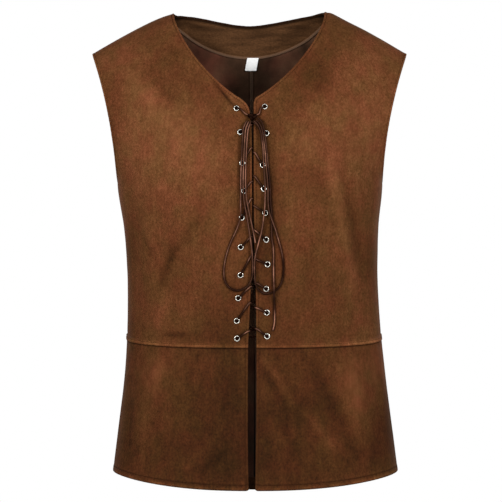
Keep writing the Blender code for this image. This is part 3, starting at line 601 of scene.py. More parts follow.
def waist_line(start, lift):
    """Places along the waist seam from the start of a panel, moved up by a lift."""
    return oval_line(start(WAIST), lambda near: WAIST - WAIST_DIP * near ** WAIST_BEND + lift)


def hem_height(face, near):
    return HEM - HEM_DIP[face] * near ** HEM_BEND[face]


def armhole_line():
    share = np.linspace(0.0, 1.0, LINE_STEPS)
    top = shoulder_line(SHOULDER_HALF)
    z = UNDERARM + (top - UNDERARM) * share
    return np.stack((UNDERARM_HALF + ARMHOLE_FLARE * share ** 2, z), 1)


def shoulder_places(low, high, drop=0.0):
    out = np.linspace(low, high, LINE_STEPS)
    return np.stack((out, shoulder_line(out) - drop), 1)


def gap(height):
    """Half of the gap between the two front edges."""
    return table_value(FRONT_GAP, HALF_GAP, height)


def gap_middle(height):
    return table_value(FRONT_GAP, GAP_MIDDLE, height)


def front_edge(side):
    """The front edge's distance from the middle of the body, on the wearer's side given."""
    return lambda z: gap(z) + side * (gap_middle(z) - middle(z))


def front_neck(side, z):
    """The neck edge's distance out from the middle at a height."""
    share = np.clip(-z / NECK_DEPTH[side], 0.0, 1.0)
    return NECK_HALF * (1.0 - share ** NECK_BEND) ** NECK_FALL


def front_opening(side):
    """The front edge above the underarm, its rounded corner and the neck."""
    depth, corner = NECK_DEPTH[side], NECK_CORNER[side]
    edge = front_edge(side)
    straight = upright_line(edge, UNDERARM, -depth - corner)
    turn = np.array((edge(-depth), -depth))
    neck_low = -depth + corner * CORNER_SPREAD
    finish = np.array((front_neck(side, neck_low), neck_low))
    part = np.linspace(0.0, 1.0, LINE_STEPS)[:, None]
    start = straight[-1] * (1 - part) + turn * part
    bend = start * (1 - part) + (turn * (1 - part) + finish * part) * part
    neck_top = shoulder_line(NECK_HALF)
    z = neck_top + (neck_low - neck_top) * (1.0 - np.sin(math.pi / 2 * part[:, 0]))
    neck = np.stack((front_neck(side, z), z), 1)
    neck[-1] = (NECK_HALF, neck_top)
    return np.concatenate((straight, bend[1:], neck[1:]))


def back_neck(out):
    """Height of the back's neck edge at a distance out from the middle."""
    share = np.abs(out) / NECK_HALF
    fall = (1.0 - share ** BACK_NECK_BEND) * (1.0 - BACK_NECK_HOLD * share ** 2)
    return shoulder_line(NECK_HALF) - BACK_NECK_DEPTH * fall


def back_middle(z):
    """The back's middle line, which stays at 0 out."""
    return 0.0 * z


# Grids of places for each panel


class Panel:
    """A panel's places (out, z) on one face, row by row from below, and the points on the body."""

    def __init__(self, face, places):
        self.face = face
        self.out, self.z = places[..., 0], places[..., 1]
        self.points = cloth_point(face, self.out, self.z)
        self.normals = cloth_normal(face, self.out, self.z)
        self.soft = soft_relief(face, self.points)

    def moved(self, height):
        """The points moved out from the body by a height above the cloth's own relief."""
        return self.points + self.normals * (self.soft + height)[..., None]


def half_panel(face, side, start, foot, opening, arm, top, step):
    """Places of half a front, back or lining up to the shoulder, and the row at the underarm.
    start gives its inner edge below that row, and opening and arm are its edges above it."""
    underarm = oval_line(start(UNDERARM), lambda near: UNDERARM)
    centre = upright_line(start, foot[0, 1], UNDERARM)
    side_seam = upright_line(half_width, foot[-1, 1], UNDERARM)
    columns = spaced(edge_length(face, side, underarm), step)
    low_rows = spaced(edge_length(face, side, side_seam), step, True, False)
    high_rows = spaced(edge_length(face, side, opening), step, False, True)
    lower = patch(face, side, foot, underarm, centre, side_seam, columns, low_rows)
    upper = patch(face, side, underarm, top, opening, arm, columns, high_rows)
    return np.concatenate((lower, upper[1:])) * (side, 1.0), len(low_rows) - 1


def half_skirt(face, side, start, step):
    """Places of one half of the skirt, from the hem to the waist seam."""
    waist = waist_line(start, -JOIN / 2)
    hem = oval_line(start(HEM), lambda near: hem_height(face, near))
    if face == FRONT:
        corner = np.clip(1.0 - (hem[:, 0] - hem[0, 0]) / HEM_CORNER_REACH, 0.0, 1.0)
        hem[:, 1] += HEM_CORNER_LIFT * corner ** 2
    centre = upright_line(start, hem[0, 1], waist[0, 1])
    side_seam = upright_line(half_width, hem[-1, 1], waist[-1, 1])
    columns = spaced(edge_length(face, side, waist), step)
    rows = spaced(edge_length(face, side, side_seam), step)
    return patch(face, side, hem, waist, centre, side_seam, columns, rows) * (side, 1.0)


def both_halves(half):
    """Both halves of the back, left to right, from the places of the half on +X."""
    right = half[:, :0:-1] * (-1.0, 1.0)
    return np.concatenate((right, half), axis=1)


def distance(points, *lines):
    """How far each point of a grid lies from the nearest of the lines of points."""
    return np.minimum.reduce([nearest(points, even_line(line, DISTANCE_STEP)) for line in lines])


def nearest(points, spots):
    """How far each point of a grid lies from the nearest of the spots."""
    tree = KDTree(len(spots))
    for index, spot in enumerate(spots):
        tree.insert(spot, index)
    tree.balance()
    flat = points.reshape(-1, 3)
    return np.array([tree.find(spot)[2] for spot in flat]).reshape(points.shape[:-1])


# Relief beside edges and seams, from the distance to them


def bump(distances, place, half):
    """1 on a soft ridge beside an edge, and 0 away from it. place and half are in millimetres."""
    return np.exp(-((distances - place * MM) / (half * MM)) ** 2)


def rounding(distances, radius):
    """How far a rounded edge falls away from the flat of the cloth."""
    short = np.clip(radius - distances, 0.0, radius)
    return radius - np.sqrt(radius ** 2 - short ** 2)


def smooth_step(values, low, high):
    share = np.clip((values - low) / (high - low), 0.0, 1.0)
    return share * share * (3.0 - 2.0 * share)


def turned_edge(distances):
    """An edge turned under and stitched down close by."""
    flat = 0.25 * (1.0 - smooth_step(distances, 3.0 * MM, 4.6 * MM))
    return (flat + 0.16 * bump(distances, 1.6, 1.1) - 0.42 * bump(distances, 3.4, 0.6)) * MM


def pressed_seam(distances):
    """A seam pressed open: a valley along it and the allowances' soft rise beside it."""
    return (0.22 * bump(distances, 5.0, 3.2) - 0.55 * bump(distances, 0.0, 1.3)) * MM


def shell(name, outer, inner, attributes=()):
    """A closed wall of cloth between an outer and an inner grid of points."""
    rows, columns = outer.shape[:2]
    count = rows * columns
    index = np.arange(count).reshape(rows, columns)
    quads = np.stack((index[:-1, :-1], index[:-1, 1:], index[1:, 1:], index[1:, :-1]), -1)
    quads = quads.reshape(-1, 4)
    ring = np.concatenate((index[0, :-1], index[:-1, -1], index[-1, :0:-1], index[:0:-1, 0]))
    after = np.roll(ring, -1)
    rim = np.stack((after, ring, ring + count, after + count), -1)
    faces = np.concatenate((quads, quads[:, ::-1] + count, rim))
    centre_row, centre_column = rows // 2, columns // 2
    across = outer[centre_row, centre_column + 1] - outer[centre_row, centre_column]
    up = outer[centre_row + 1, centre_column] - outer[centre_row, centre_column]
    wall = outer[centre_row, centre_column] - inner[centre_row, centre_column]
    if np.cross(across, up) @ wall < 0:
        faces = faces[:, ::-1]
    points = np.concatenate((outer.reshape(-1, 3), inner.reshape(-1, 3)))
    mesh = bpy.data.meshes.new(name)
    mesh.from_pydata(points.tolist(), [], faces.tolist())
    for word, outside, inside in attributes:
        set_values(mesh, word, np.concatenate((outside.ravel(), inside.ravel())))
    flat = np.stack(np.meshgrid(lengths_along(outer[centre_row]),
                                lengths_along(outer[:, centre_column])), -1).reshape(-1, 2)
    return finished(name, mesh, np.concatenate((flat, flat)))


def set_values(mesh, word, values):
    """Gives each point of a mesh a value, which its material reads by the word."""
    layer = mesh.attributes.new(word, "FLOAT", "POINT")
    layer.data.foreach_set("value", np.asarray(values, np.float32).ravel())


def new_object(name, data):
    made = bpy.data.objects.new(name, data)
    bpy.context.scene.collection.objects.link(made)
    return made


def finished(name, mesh, flat=None):
    """A smooth mesh as a piece. flat gives each point's place on the cloth laid flat."""
    if flat is not None:
        corners = np.empty(len(mesh.loops), int)
        mesh.loops.foreach_get("vertex_index", corners)
        mesh.uv_layers.new(name="cloth").data.foreach_set("uv", flat[corners].ravel())
    mesh.polygons.foreach_set("use_smooth", [True] * len(mesh.polygons))
    return new_object(name, mesh)


def placed(piece, node):
    """Fixes a piece to the vest, in place of a plain node of the model."""
    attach(piece, BODY)
    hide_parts(node)
    return piece


# The cloth panels


# Millimetres: height, and how much the front's opening is rubbed there
OPENING_WEAR = ((-380.0, 0.25), (-330.0, 0.55), (-175.0, 0.55), (-140.0, 0.7), (-70.0, 0.32),
                (-20.0, 0.2))

# Height in millimetres and how light the cloth is there, from the hem to the shoulders: partly its
# tone, and partly painted light and shade, lighter over the chest and darker lower down
TONE_AND_SHADING_BY_HEIGHT = ((-712.0, 0.62), (-620.0, 0.70), (-540.0, 0.86), (-480.0, 1.02), (-470.0, 0.84),
          (-300.0, 0.86), (-230.0, 0.98), (-150.0, 1.12), (-70.0, 1.0), (0.0, 0.98))

# The same for the lining, as it lies against the back, all painted light and shade: much lighter
# where it shows through the front's gap, and darker towards the hem
LINING_PAINTED_SHADING = ((-712.0, 0.40), (-600.0, 0.55), (-520.0, 0.9), (-480.0, 1.6), (-440.0, 2.6),
              (-400.0, 3.4), (-350.0, 2.8), (-250.0, 1.5), (-140.0, 1.4), (-60.0, 1.3),
              (0.0, 1.2))

# Millimetres: each soft patch's middle (x, z), half width, half height and change in how light the
# cloth is: partly the suede's own tone and partly painted light and shade, darker towards the sides
# where the cloth turns away
TONE_AND_SHADING_PATCHES = {
    FRONT: (
        (-125, -200, 50, 40, 0.1),
        (125, -160, 45, 60, 0.1),
        (-190, -58, 30, 28, 0.15),
        (190, -55, 30, 28, 0.18),
        (-207, -180, 14, 60, -0.5),
        (-145, -270, 40, 80, 0.14),
        (-75, -235, 35, 60, 0.12),
        (-176, -352, 15, 50, -0.42),
        (-176, -460, 14, 36, -0.3),
        (170, -366, 14, 34, -0.36),
        (182, -215, 22, 30, 0.22),
        (88, -118, 30, 44, -0.22),
        (14, -350, 15, 60, -0.26),
        (-30, -545, 20, 60, -0.22),
        (72, -575, 50, 26, -0.26),
        (18, -635, 16, 45, -0.28),
        (-36, -640, 26, 34, -0.12),
        (184, -510, 22, 34, 0.55),
        (-100, -375, 32, 45, -0.1),
        (-30, -425, 26, 85, -0.2),
        (0, -165, 34, 32, -0.18),
        (25, -330, 22, 170, -0.26),
        (70, -440, 42, 110, -0.22),
        (-70, -470, 60, 20, -0.24),
        (60, -480, 75, 16, -0.06),
        (-148, -535, 22, 45, 0.28),
        (-50, -560, 60, 140, -0.28),
        (55, -540, 50, 90, -0.1),
        (152, -545, 30, 42, 0.48),
        (206, -575, 11, 50, -0.55),
        (-188, -690, 40, 26, 0.45),
        (188, -685, 36, 28, 0.55),
    ),
    BACK: (
        (-90, -190, 70, 90, 0.1),
        (95, -150, 60, 80, 0.12),
        (10, -400, 60, 120, -0.12),
        (-140, -540, 40, 60, 0.2),
        (152, -550, 36, 60, 0.22),
        (10, -590, 90, 120, -0.18),
        (-150, -300, 30, 60, 0.2),
        (152, -318, 26, 52, 0.18),
        (-8, -112, 62, 36, -0.16),
        (-58, -322, 36, 66, 0.16),
        (66, -286, 38, 76, -0.18),
        (-200, -180, 15, 60, -0.4),
        (200, -190, 15, 54, -0.4),
        (-178, -392, 14, 66, -0.36),
        (176, -404, 14, 54, -0.36),
        (-96, -458, 58, 22, -0.24),
        (104, -464, 48, 20, -0.22),
        (-190, -62, 30, 26, 0.16),
        (188, -56, 28, 26, 0.16),
        (84, -636, 40, 32, 0.26),
        (-42, -560, 26, 58, 0.18),
        (-104, -640, 26, 46, -0.22),
        (192, -640, 16, 50, -0.4),
        (-194, -628, 15, 52, -0.4),
    ),
}


def read_stops(stops, at):
    """Reads a table of places and their values, with straight lines between them."""
    places, values = zip(*stops)
    return np.interp(at, places, values)


def tone_and_shading_at(face, points):
    """How light the cloth is, partly its tone and partly painted light and shade: by height, along
    the creases and in soft patches.
    """
    x, z = points[..., 0], points[..., 2]
    change = along_folds(CREASES, face, x, z, PAINTED_SHADING)
    for place_x, place_z, half_across, half_up, share in TONE_AND_SHADING_PATCHES[face]:
        across, up = (x / MM - place_x) / half_across, (z / MM - place_z) / half_up
        change += share * np.exp(-across ** 2 - up ** 2)
    return read_stops(TONE_AND_SHADING_BY_HEIGHT, z / MM) * (1.0 + change)


def band_relief(panel, height):
    """The seam allowance stitched up along the waist, slightly puckered."""
    pucker = unevenness(panel.points * (1.0, 1.0, 0.4), 8.0 * MM)
    rise = BAND_PROUD * (1.0 - smooth_step(height, BAND_HEIGHT, BAND_HEIGHT + BAND_STEP))
    rise -= 0.45 * MM * bump(height, 4.3, 0.7)
    rise += MM * pucker * (0.35 * bump(height, 6.0, 5.0) + 0.15 * bump(height, 1.5, 2.0))
    return rise - 0.25 * MM * bump(height, 9.0, 2.0)


def worn(edge):
    """How much an edge is worn, fading into the cloth."""
    return EDGE_WEAR * np.exp(-(edge / EDGE_WEAR_REACH) ** 1.5)


def opening_shade(opening):
    """A faint painted shadow line just inside the stitching of the front's opening."""
    return 1.0 - 0.15 * bump(opening, 4.2, 0.8)


def band_wear(points, height):
    """The band's worn ridge, stronger in some places than in others."""
    uneven = 1.0 + 1.1 * unevenness(points * (1.0, 1.0, 0.4), 22.0 * MM)
    return np.clip(uneven, 0.35, 1.7) * bump(height, 3.0, 2.3)


def lace_shadow(points):
    """1 over the cloth, and less where the laces lie on it, as their painted shadow."""
    spots = np.concatenate(LACE_SPOTS) * (1.0, 0.0, 1.0)
    away = nearest(points * (1.0, 0.0, 1.0), spots)
    return 1.0 - LACE_SHADE * np.exp(-(away / LACE) ** 2)


def cloth(node, panel, relief, edges, seams, wear_and_painted_light, shade):
    """One panel's wall, rounded along its edges and seams."""
    fall = np.maximum.reduce([rounding(edge, EDGE_ROUND) for edge in edges]
                             + [rounding(seam, SEAM_ROUND) for seam in seams])
    tone_and_painted_shading = tone_and_shading_at(panel.face, panel.points) * shade
    piece = shell(f"cloth_{node}", panel.moved(relief - fall), panel.moved(fall - CLOTH),
                  (("wear_and_painted_light", wear_and_painted_light, 0.0 * wear_and_painted_light), ("tone_and_painted_shading", tone_and_painted_shading, 0.45 * tone_and_painted_shading)))
    return placed(piece, node)


def bodice_cloth(node, panel, turned, pressed, waist, wear_and_painted_light, shade):
    """A wall with turned edges, pressed seams and the band along its waist."""
    reliefs = [turned_edge(edge) for edge in turned] + [pressed_seam(seam) for seam in pressed]
    relief = sum(reliefs) + band_relief(panel, waist)
    return cloth(node, panel, relief, turned, (*pressed, waist), wear_and_painted_light, shade)


def front_cloth(side):
    """One front with its eyelets' holes, and its stitching."""
    start = front_edge(side)
    places, knee = half_panel(FRONT, side, start, waist_line(start, JOIN / 2),
                              front_opening(side), armhole_line(),
                              shoulder_places(NECK_HALF, SHOULDER_HALF), CLOTH_STEP)
    panel = Panel(FRONT, places)
    points = panel.points
    opening, arm = distance(points, points[:, 0]), distance(points, points[knee:, -1])
    seam, shoulder = distance(points, points[:knee + 1, -1]), distance(points, points[-1])
    waist = distance(points, points[0])
    rubbed_and_highlit = worn(opening) * read_stops(OPENING_WEAR, points[..., 2] / MM)
    wear_and_painted_light = np.maximum.reduce((rubbed_and_highlit, worn(arm), band_wear(points, waist)))
    # Painted shade: the laces' shadow, the line inside the opening's stitching, and a dark line
    # along the waist seam under the band
    shade = lace_shadow(points) * opening_shade(opening)
    shade = shade * (1.0 - 0.5 * bump(waist, 0.0, 0.9))
    node = f"front_{SIDES[side]}"
    piece = bodice_cloth(node, panel, (opening, arm), (seam, shoulder), waist, wear_and_painted_light, shade)
    cut_holes(piece, side)
    sewing = (stitch_line(panel, np.s_[:, 0], np.s_[:, 3], EDGE_STITCH),
              stitch_line(panel, np.s_[knee:, -1], np.s_[knee:, -4], EDGE_STITCH),
              stitch_line(panel, np.s_[0], np.s_[3], BAND_STITCH))
    return piece, stitches(node, sewing)


def back_cloth():
    """The back from side seam to side seam, and its stitching."""
    out = np.linspace(0.0, NECK_HALF, LINE_STEPS)
    top = np.concatenate((np.stack((out, back_neck(out)), 1),
                          shoulder_places(NECK_HALF, SHOULDER_HALF)[1:]))
    half, knee = half_panel(BACK, LEFT, back_middle, waist_line(back_middle, JOIN / 2),
                            upright_line(back_middle, UNDERARM, back_neck(0.0)),
                            armhole_line(), top, BACK_STEP)
    panel = Panel(BACK, both_halves(half))
    points = panel.points
    top_out = panel.out[-1]
    neck_columns = np.flatnonzero(np.abs(top_out) <= NECK_HALF + 0.5 * MM)
    across_neck = slice(neck_columns[0], neck_columns[-1] + 1)
    neck, waist = distance(points, points[-1, across_neck]), distance(points, points[0])
    arm = distance(points, points[knee:, 0], points[knee:, -1])
    seam = distance(points, points[:knee + 1, 0], points[:knee + 1, -1])
    shoulder = distance(points, points[-1, top_out <= -NECK_HALF],
                        points[-1, top_out >= NECK_HALF])
    wear_and_painted_light = np.maximum(worn(arm), band_wear(points, waist))
    # Painted shade along the back's neck edge
    shade = 1.0 - 0.75 * np.exp(-(neck / (2.0 * MM)) ** 2)
    piece = bodice_cloth("back", panel, (neck, arm), (seam, shoulder), waist, wear_and_painted_light, shade)
    sewing = (stitch_line(panel, np.s_[-1, across_neck], np.s_[-4, across_neck], EDGE_STITCH),
              stitch_line(panel, np.s_[knee:, 0], np.s_[knee:, 3], EDGE_STITCH),
              stitch_line(panel, np.s_[knee:, -1], np.s_[knee:, -4], EDGE_STITCH),
              stitch_line(panel, np.s_[0], np.s_[3], BAND_STITCH))
    return piece, stitches("back", sewing)


def skirt_cloth(node, face, places):
    """A part of the skirt with its turned-up hem, and its stitching."""
    panel = Panel(face, places)
    points = panel.points
    hem, waist = distance(points, points[0]), distance(points, points[-1])
    if face == FRONT:
        opening, seam = distance(points, points[:, 0]), distance(points, points[:, -1])
        edges = (hem, opening)
        relief = pressed_seam(seam) + turned_edge(opening)
    else:
        seam = distance(points, points[:, 0], points[:, -1])
        edges = (hem,)
        relief = pressed_seam(seam)
    sewn = HEM_STITCH[0]
    pucker = unevenness(points * (1.0, 1.0, 0.5), 9.0 * MM)
    relief += MM * (0.3 * (1.0 - smooth_step(hem, 7.0 * MM, 9.2 * MM))
                    - 0.4 * bump(hem, sewn, 0.7) + 0.2 * pucker * bump(hem, 7.0, 5.0))
    relief -= 0.5 * MM * bump(waist, 0.0, 1.6) - 0.3 * MM * pucker * bump(waist, 5.0, 6.0)
    rub_and_highlight = np.clip(1.0 + 1.3 * unevenness(points, 20.0 * MM), 0.2, 2.0)
    wear_and_painted_light = rub_and_highlight * bump(hem, 2.6, 2.0)
    # Painted shadow along the hem's fold, along its stitching and along the waist seam under the
    # band, with a faint uneven lighter streak above the hem
    shade = 1.0 - 0.6 * bump(hem, 0.0, 0.9) - 0.35 * bump(hem, sewn, 1.1)
    shade = shade * (1.0 - 0.72 * bump(waist, 0.0, 1.6)) + 0.15 * rub_and_highlight * bump(hem, 11.0, 1.8)
    sewing = [stitch_line(panel, np.s_[0], np.s_[3], HEM_STITCH)]
    if face == FRONT:
        wear_and_painted_light = np.maximum(wear_and_painted_light, 0.3 * worn(opening))
        shade = shade * opening_shade(opening)
        sewing.append(stitch_line(panel, np.s_[:, 0], np.s_[:, 3], EDGE_STITCH))
    piece = cloth(node, panel, relief, edges, (seam, waist), wear_and_painted_light, shade)
    return piece, stitches(node, sewing)


# The facing, the lining and the label inside the back


def facing_edge(out):
    """The facing's lower edge, which runs from shoulder seam to shoulder seam."""
    foot = back_neck(0.0) - (FACING_DEPTH - BACK_NECK_DEPTH)
    rise = shoulder_line(FACING_HALF) - foot
    return foot + rise * (np.abs(out) / FACING_HALF) ** FACING_BEND


def facing_cloth():
    """The facing behind the neck, with the piping along its lower edge."""
    across = 2.0 * spaced(2 * FACING_HALF, FACING_STEP_ACROSS) - 1.0
    up = spaced(FACING_DEPTH, FACING_STEP_UP)[:, None, None]
    low_out = across * FACING_HALF
    low = np.stack((low_out, facing_edge(low_out) - FACING_INSET / 2), 1)
    top_out = across * (NECK_HALF - FACING_INSET)
    top = np.stack((top_out, back_neck(top_out) - FACING_INSET), 1)
    panel = Panel(BACK, low * (1 - up) + top * up)
    points = panel.points
    neck, foot = distance(points, points[-1]), distance(points, points[0])
    ends = distance(points, points[:, 0], points[:, -1])
    depth = CLOTH + BACKING_CLEAR + BACKING_SPACE * smooth_step(neck, 0.0, BACKING_REACH)
    piping = 1.0 - smooth_step(foot, 3.4 * MM, 4.4 * MM)
    ripple = 0.3 * MM * unevenness(points * (0.5, 1.0, 1.6), 12.0 * MM)
    seen = (0.8 * piping - 0.4 * bump(foot, 4.8, 0.8) - 0.2 * bump(neck, 4.0, 1.0)) * MM + ripple
    fall = np.maximum(rounding(np.minimum(neck, ends), 0.5 * MM), rounding(foot, EDGE_ROUND))
    # Painted shade: a dark line along the neck edge, darker towards the ends at the shoulders and in
    # streaks where folds would lie; the piping is made lighter
    tone_and_painted_shading = 1.14 - 0.75 * np.exp(-(neck / (2.3 * MM)) ** 2) - 0.2 * np.exp(-neck / (12.0 * MM))
    tone_and_painted_shading = (tone_and_painted_shading + 0.45 * piping) * (1.0 - 0.8 * np.exp(-(ends / (17.0 * MM)) ** 2))
    slant = points[..., 2] * 1.3 - 0.2 * np.abs(points[..., 0])
    folds = unevenness(np.stack((points[..., 0] * 0.2, points[..., 1], slant), -1), 9.0 * MM)
    tone_and_painted_shading = tone_and_painted_shading * (1.0 + 0.5 * np.minimum(folds, 0.3))
    piece = shell("cloth_facing", panel.moved(-depth - fall * 0.3),
                  panel.moved(fall - depth - FACING - seen),
                  (("wear_and_painted_light", piping, piping), ("tone_and_painted_shading", tone_and_painted_shading, tone_and_painted_shading)))
    return placed(piece, "neck_facing")


def lining_cloth(side):
    """Half of the back's lining, from the facing to just above the hem."""
    start = SEAM / 2 + side * LINING_CENTRE
    neck_out = np.linspace(start, FACING_HALF, LINE_STEPS)
    under_facing = np.stack((neck_out, facing_edge(neck_out) + LINING_TUCK), 1)
    shoulder = shoulder_places(FACING_HALF, SHOULDER_HALF - LINING_INSET, LINING_DROP)
    top = np.concatenate((under_facing[:-1], shoulder[1:]))
    hem = oval_line(start, lambda near: hem_height(BACK, near) + LINING_ABOVE_HEM)
    arm = armhole_line()
    part = np.linspace(0.0, 1.0, len(arm))
    arm[:, 0] -= LINING_INSET * smooth_step(part, 0.0, 0.25)
    arm[:, 1] -= LINING_DROP * part
    opening = upright_line(lambda z: start, UNDERARM, top[0, 1])
    places, knee = half_panel(BACK, side, lambda z: start, hem, opening, arm, top, LINING_STEP)
    panel = Panel(BACK, places)
    points = panel.points
    centre, foot = distance(points, points[:, 0]), distance(points, points[0])
    sewn = distance(points, points[-1], points[knee:, -1])
    slack = LINING_SLACK * np.exp(-((panel.z - SLACK_HEIGHT) / SLACK_REACH) ** 2)
    slack = (BACKING_SPACE + slack) * smooth_step(sewn, 0.0, BACKING_REACH)
    depth = CLOTH + BACKING_CLEAR + slack
    drape = 0.35 * MM * unevenness(points * (1.0, 1.0, 0.35), 16.0 * MM)
    ridge = (0.9 * MM * (1.0 - smooth_step(centre, 1.5 * MM, 2.3 * MM))
             - 0.2 * MM * bump(centre, 3.1, 0.9))
    fall = np.maximum(rounding(centre, 0.45 * MM), rounding(foot, 0.45 * MM))
    # A painted highlight along the centre seam's ridge
    wear_and_painted_light = 0.7 * (1.0 - smooth_step(centre, 1.2 * MM, 2.0 * MM))
    # Painted light and shade: by height, darker beside the centre seam's ridge, and lighter towards
    # the sides
    tone_and_painted_shading = read_stops(LINING_PAINTED_SHADING, panel.z / MM) - 0.5 * bump(centre, 3.3, 1.2)
    tone_and_painted_shading = tone_and_painted_shading * (1.0 + 0.35 * smooth_step(np.abs(panel.out), 15.0 * MM, 90.0 * MM))
    piece = shell(f"cloth_lining_{SIDES[side]}", panel.moved(-depth - fall),
                  panel.moved(fall - depth - LINING - ridge + np.minimum(drape, 0.0)),
                  (("wear_and_painted_light", wear_and_painted_light, wear_and_painted_light), ("tone_and_painted_shading", tone_and_painted_shading, tone_and_painted_shading)))
    return placed(piece, f"lining_{SIDES[side]}")


def label_cloth():
    """The blank label, a folded tape that hangs a little forward from the facing's seam."""
    across = 2.0 * np.linspace(0.0, 1.0, LABEL_STEPS) - 1.0
    up = np.linspace(0.0, 1.0, LABEL_STEPS)[:, None]
    z = LABEL_BOTTOM + (LABEL_TOP - LABEL_BOTTOM) * up + 0.0 * across
    out = LABEL_MIDDLE + LABEL_HALF * across + LABEL_LEAN * (1.0 - up) - middle(z)
    panel = Panel(BACK, np.stack((out, z), -1))
    points = panel.points
    rim = distance(points, points[0], points[:, 0], points[:, -1])
    depth = CLOTH + BACKING_SPACE + FACING + 3 * SEAM
    curl = 1.5 * MM * (1.0 - up) ** 2 + 0.25 * MM * np.cos(across * 2.2) * (1.0 - up)
    fall = rounding(rim, LABEL_ROUND)
    piece = shell("cloth_label", panel.moved(-depth - curl - fall),
                  panel.moved(fall - depth - curl - LABEL))
    return placed(piece, "label")


# Sewing


# Millimetres: how far a line of stitching lies in from its edge, and how high it lies
EDGE_STITCH = (3.4, 0.05)
BAND_STITCH = (4.3, 0.95)
HEM_STITCH = (8.0, 0.0)
STITCH_SPACING = 3.3 * MM
STITCH = (1.3 * MM, 0.3 * MM, 0.26 * MM)


def stitch_line(panel, edge, inside, place):
    """Points and normals of a line of stitching, in from an edge towards the points inside it."""
    inset, level = place
    line, normals = panel.points[edge], panel.normals[edge]
    run = unit(np.gradient(line, axis=0))
    inward = unit(np.cross(normals, run))
    inward *= np.sign(np.sum(inward * (panel.points[inside] - line), -1, keepdims=True))
    spots = even_line(line + inward * inset * MM, STITCH_SPACING)
    z = spots[:, 2]
    out = spots[:, 0] - middle(z)
    points = cloth_point(panel.face, out, z)
    normals = cloth_normal(panel.face, out, z)
    lift = soft_relief(panel.face, points) + level * MM
    return points + normals * lift[:, None], normals


def one_stitch():
    """A single stitch's points and faces, along X."""
    bpy.ops.object.select_all(action="DESELECT")
    bpy.ops.mesh.primitive_uv_sphere_add(segments=6, ring_count=4, radius=1.0,
                                         rotation=(0.0, math.pi / 2, 0.0))
    bpy.ops.object.transform_apply(rotation=True)
    piece = bpy.context.object
    mesh = piece.data
    points = np.array([vertex.co for vertex in mesh.vertices]) * STITCH
    faces = [tuple(face.vertices) for face in mesh.polygons]
    bpy.data.objects.remove(piece)
    bpy.data.meshes.remove(mesh)
    return points, faces


def stitches(node, lines):
    """All the stitches of one panel as one mesh."""
    base, faces = STITCH_SHAPE
    points, shapes = [], []
    for line, normals in lines:
        run = unit(np.gradient(line, axis=0))
        side = unit(np.cross(normals, run))
        for spot, along, across, out in zip(line[1:-1], run[1:-1], side[1:-1], normals[1:-1]):
            first = len(points) * len(base)
            points.append(spot + base @ np.stack((along, across, out)))
            shapes.extend(tuple(index + first for index in face) for face in faces)
    name = f"stitching_{node}"
    mesh = bpy.data.meshes.new(name)
    mesh.from_pydata(np.concatenate(points).tolist(), [], shapes)
    piece = finished(name, mesh)
    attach(piece, BODY)
    return piece


# Eyelets


def eyelet_places(side):
    """The x and z of one side's eyelets, from the top."""
    column = 2 if side == LEFT else 0
    return [(row[column] * MM, row[column + 1] * MM) for row in EYELETS]


def eyelet_frame(x, z):
    """Where an eyelet sits, and the turn that points its axis out of the cloth."""
    out = x - float(middle(z))
    normal = Vector(cloth_normal(FRONT, np.array(out), np.array(z)))
    turn = normal.to_track_quat("Z", "Y").to_matrix().to_4x4()
    turn.translation = Vector(cloth_point(FRONT, np.array(out), np.array(z)))
    return turn


def cut_holes(piece, side):
    """Cuts the eyelets' holes through a front."""
    shape = bmesh.new()
    for spot in eyelet_places(side):
        bmesh.ops.create_cone(shape, cap_ends=True, segments=HOLE_SIDES, radius1=HOLE,
                              radius2=HOLE, depth=4.0 * CLOTH, matrix=eyelet_frame(*spot))
    mesh = bpy.data.meshes.new("holes")
    shape.to_mesh(mesh)
    shape.free()
    cutter = new_object("holes", mesh)
    cut = piece.modifiers.new("holes", "BOOLEAN")
    cut.operation = "DIFFERENCE"
    cut.object = cutter
    bpy.ops.object.select_all(action="DESELECT")
    bpy.context.view_layer.objects.active = piece
    piece.select_set(True)
    bpy.ops.object.modifier_apply(modifier="holes")
    bpy.data.objects.remove(cutter)
    bpy.data.meshes.remove(mesh)


# Millimetres: an eyelet's radius and height round its section, from the bore's back end
EYELET_SECTION = (
    (2.6, -2.4), (2.6, -1.0), (2.6, 0.2), (2.7, 0.7), (2.92, 1.05), (3.25, 1.2), (3.65, 1.1),
    (4.0, 0.8), (4.25, 0.45), (4.35, 0.12), (4.1, 0.05), (3.1, 0.05), (3.05, -1.2), (3.05, -2.05),
    (3.8, -2.1), (4.3, -2.3), (4.35, -2.7), (3.9, -3.0), (3.2, -3.05), (2.75, -2.85),
)
EYELET_SIDES = 32


